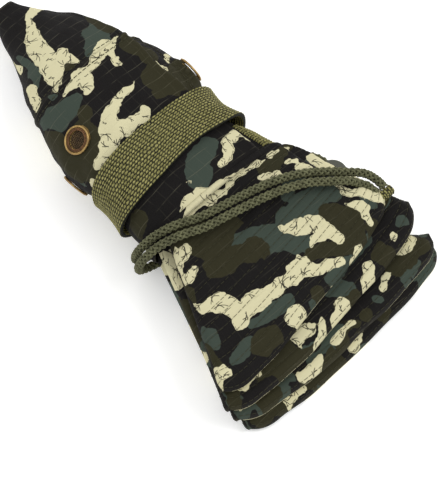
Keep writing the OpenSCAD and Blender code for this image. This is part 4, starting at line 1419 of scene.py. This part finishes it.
STRAP_T = BAND_T * 0.72  # before the weave is raised
WEAVE_ROW, WEAVE_FLOAT = 1.39, 2.3
WEAVE_RELIEF = 0.75 * MM


def strap_solid(name, grid, normals, across, along_, wrap):
    """A strap with its outer face woven; grid is its inner face."""
    rows, cols = grid.shape[:2]
    outer = grid + normals * STRAP_T
    faces = cloth_faces(rows, cols, wrap=wrap)
    edge = np.minimum(np.arange(rows), np.arange(rows)[::-1]) > 0
    shown = np.concatenate([np.repeat(edge, cols), np.repeat(edge, cols)]).astype(float)
    fields = {"across": np.concatenate([across.ravel()] * 2), "along": np.concatenate([along_.ravel()] * 2),
              "shown": shown}
    points = stacked(outer, grid)
    source = make_mesh(name + "_plain", points, faces, [WEBBING], fields)
    return grow(source, WEAVE, {"Row Width": WEAVE_ROW, "Float Length": WEAVE_FLOAT, "Relief": WEAVE_RELIEF,
                                "Surface": WEBBING},
                name)


def band_piece():
    cols, rows = 560, 62
    turns = np.linspace(-90, 270, cols + 1)[:-1]
    closed = np.linspace(-90, 270, cols + 1)
    mid = crown_smooth(np.full(cols + 1, BAND_S + BAND_W / 2), closed)[None]
    arc = arc_from_top(mid, closed)[0][:-1]
    upper, width = band_edges(arc)
    share = np.linspace(0, 1, rows)[:, None]
    s = upper[None] + share * width[None]
    turn = np.broadcast_to(turns[None], s.shape)
    smooth = crown_smooth(s, turn)
    n = surface_normals(smooth, True)
    off = 0.35 + band_lift_at(arc)[None] * share**2.2 + 0.25 * np.sin(arc / 9)[None] * share
    grid = smooth + n * off[..., None]
    wander = noise(np.stack([arc[None] + 0 * s, share * 25 + 0 * s], -1), (7, 5), 61) - 0.5
    across = share * 25 + 0.7 * wander
    along_ = arc[None] + 2.2 * wander + 0.5 * share * 25
    return strap_solid("webbing_strap", grid, n, across, along_, wrap=True)


band = band_piece()
declare_cloth(band, ["webbing_band"])


def tail_piece():
    rows, cols = 50, 120
    first, last = 6.0, 34.0
    turns = np.linspace(first, last, cols)
    share = np.linspace(0, 1, rows)[:, None]
    s0 = BAND_S + BAND_W + 0.6
    s = s0 + share * (TAIL_LEN - 0.6) + 0 * turns[None]
    turn = np.broadcast_to(turns[None], s.shape)
    smooth = crown_smooth(s, turn)
    n = surface_normals(smooth, False)
    if n[rows // 2, cols // 2, 2] < 0:
        n = -n
    closed = np.linspace(-90, 270, 361)
    ring = crown_smooth(np.full(361, s.mean()), closed)[None]
    arc = np.interp(turns, closed, arc_from_top(ring, closed)[0])[None] + 0 * s
    grid = smooth + n * (crown_relief(s, arc, turn) + 0.3)[..., None]
    length = np.linspace(0, 28, cols)[None] + 0 * s
    return strap_solid("webbing_end", grid, n, share * 20 + 0 * s, length, wrap=False)


tail = tail_piece()
declare_cloth(tail, ["webbing_tail"])


def tack_rows():
    rows = []
    for turn in (349.0, 357.0):
        for k in range(3):
            ss = np.linspace(BAND_S + 5, BAND_S + BAND_W - 5, 40)
            tt = np.full(40, turn + 0.8 * k)
            p = crown_smooth(ss, tt)
            strip = np.meshgrid(ss, [turn - 1, turn, turn + 1], indexing="ij")
            n = surface_normals(crown_smooth(*strip), False)[:, 1]
            if n[20, 1] < 0:
                n = -n
            zig = np.where(np.arange(40) % 2, 0.5, -0.5)
            out = 2.9 + 1.2 * np.linspace(0, 1, 40) ** 2
            rows.append(p + n * out[:, None] + np.array([0, 0, 1]) * zig[:, None])
    return rows


tacks = sewn("bar_tacks", tack_rows(), pitch=0.7, length=1.3, thread=0.3, material=TACKS)
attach(tacks, "hat")
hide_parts("band_bartacks")

# ---------------------------------------------------------------- eyelets


def gauze_wires(i):
    """Two layers of wavy wires across the eyelet's bore."""
    centre, n, a, b = eyelet_frame(i)
    routes = []
    step, reach = 1.0, GAUZE_D / 2 + 0.05
    for first, second, sign in ((a, b, 1), (b, a, -1)):
        for k in np.arange(-4, 5):
            half = math.sqrt(max(reach**2 - (k * step) ** 2, 0))
            if half < 0.8:
                continue
            t = np.linspace(-half, half, 24)
            up = 0.16 * np.cos(np.pi * t / step) * sign * (1 if k % 2 else -1)
            routes.append(centre + np.outer(t, first) + second * (k * step) + np.outer(up - 0.3, n))
    return routes


def wire_tree():
    w, g, out = new_group("Wires", "GeometryNodeTree", [
        ("Routes", "Geometry", None), ("Radius", "Float", 0.00022),
        ("Metal", "Material", None),
    ], [("Mesh", "Geometry")])
    curve = w.node("GeometryNodeMeshToCurve", {"Mesh": g["Routes"]}).outputs["Curve"]
    tube = w.tube(curve, g["Radius"], 5)
    real = w.realised(tube)
    done = w.painted(real, g["Metal"])
    w.feed(out["Mesh"], done)
    return w.tree


WIRES = wire_tree()
for i in range(4):
    wires = grow(path_object(f"gauze_path_{i + 1}", gauze_wires(i)), WIRES,
                 {"Radius": 0.24 * MM, "Metal": GAUZE},
                 f"eyelet_{i + 1}_wires")
    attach(wires, "hat")
    centre, n, a, b = eyelet_frame(i)
    round_ = np.linspace(0, 2 * math.pi, 61)[:, None]
    # the groove and the lip take the darker copper: painted shade on the inner rings
    for label, radius, thick, up, metal, slot in (("bead", 6.85, 0.66, 0.6, COPPER, "eyelet_brass"),
                                                  ("groove", 5.75, 0.36, 0.6, SHADED_COPPER, "eyelet_brass"),
                                                  ("lip", 5.05, 0.38, 0.62, SHADED_COPPER, "eyelet_brass")):
        ring = centre + radius * (np.cos(round_) * a + np.sin(round_) * b) + up * n
        part = grow(path_object(f"eyelet_{label}_path_{i + 1}", [ring]), WIRES,
                    {"Radius": thick * MM, "Metal": metal}, f"eyelet_{i + 1}_{label}")
        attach(part, "hat")

# ---------------------------------------------------------------- carried-over pieces

def finish_node(node, material):
    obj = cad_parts[node]
    obj = bpy.data.objects[obj] if isinstance(obj, str) else obj
    obj.data.materials.clear()
    obj.data.materials.append(material)


EYELET_FINISHES = {"ring": COPPER, "washer": COPPER, "gauze": GAUZE}
LOCK_FINISHES = {"body": PLASTIC, "button": BUTTON_PLASTIC, "spring": STEEL}
for i, (part, finish) in itertools.product(range(1, 5), EYELET_FINISHES.items()):
    finish_node(f"eyelet_{i}_{part}", finish)
for part, finish in LOCK_FINISHES.items():
    finish_node(f"lock_{part}", finish)


def anchor_tab():
    """The short sewn strap that both strands come out of, woven like the band."""
    lo, hi = (np.array(v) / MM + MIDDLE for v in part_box("cord_anchor_tab"))
    rows, cols = 40, 44
    angle = np.linspace(0, 2 * math.pi, cols + 1)[:-1]
    across = np.linspace(lo[1], hi[1], rows)
    mid = (lo + hi) / 2
    half = (hi - lo) / 2
    ring = np.stack([mid[0] + half[0] * np.sign(np.cos(angle)) * np.abs(np.cos(angle)) ** 0.5,
                     mid[2] + half[2] * np.sign(np.sin(angle)) * np.abs(np.sin(angle)) ** 0.5], -1)
    points = np.array([[(x, y, z) for x, z in ring] for y in across])
    faces = grid_quads(rows, cols, 0, wrap=True, flip=True).tolist()
    n = rows * cols
    caps = [tuple(range(cols)), tuple(range((rows - 1) * cols, n))[::-1]]
    along_ = np.tile(np.linspace(0, 18, cols), rows)
    faces = [list(f) for f in faces] + [list(c) for c in caps]
    source = make_mesh("tab_plain", points.reshape(-1, 3), faces, [WEBBING], {
        "across": np.repeat(np.linspace(0, 11, rows), cols), "along": along_,
        "shown": np.repeat((np.minimum(np.arange(rows), np.arange(rows)[::-1]) > 0).astype(float), cols)})
    return grow(source, WEAVE, {"Row Width": 1.25, "Float Length": WEAVE_FLOAT, "Relief": 0.35 * MM,
                                "Surface": WEBBING},
                "cord_tab")


tab = anchor_tab()
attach(tab, "hat")
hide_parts("cord_anchor_tab")

# ---------------------------------------------------------------- studio


# name, place and size in m, power in W
LAMPS = (("key", (0.75, 0.95, 1.5), 1.1, 13.5), ("fill", (-1.0, -0.6, 1.6), 2.4, 13))


def studio():
    mesh = bpy.data.meshes.new("floor")
    r, low = 3.0, -0.1 * MM
    mesh.from_pydata([(-r, -r, low), (r, -r, low), (r, r, low), (-r, r, low)], [], [(0, 1, 2, 3)])
    floor = new_object("floor", mesh)
    paper, w, shader = new_material("Pale studio paper")
    place = w.place()
    fibre = w.noise(place, 60.0, 4.0)
    w.feed(shader["Base Color"], w.mix(fibre, colour("fbfbfa"), colour("ffffff")))
    shader["Roughness"].default_value = 0.9
    shader["Emission Color"].default_value = (1, 1, 1, 1)
    shader["Emission Strength"].default_value = 0.26
    mesh.materials.append(paper)
    world = bpy.data.worlds.new("studio")
    bpy.context.scene.world = world
    world.use_nodes = True
    back = world.node_tree.nodes["Background"]
    back.inputs["Color"].default_value = (1, 1, 1, 1)
    back.inputs["Strength"].default_value = 0.7
    for name, spot, size, power in LAMPS:
        data = bpy.data.lights.new(name, "AREA")
        data.size = size
        data.energy = power
        lamp = new_object(name, data)
        lamp.location = spot
        lamp.rotation_mode = "QUATERNION"
        lamp.rotation_quaternion = (-Vector(spot)).to_track_quat("-Z", "Y")


studio()
bpy.context.scene.view_settings.view_transform = "Standard"
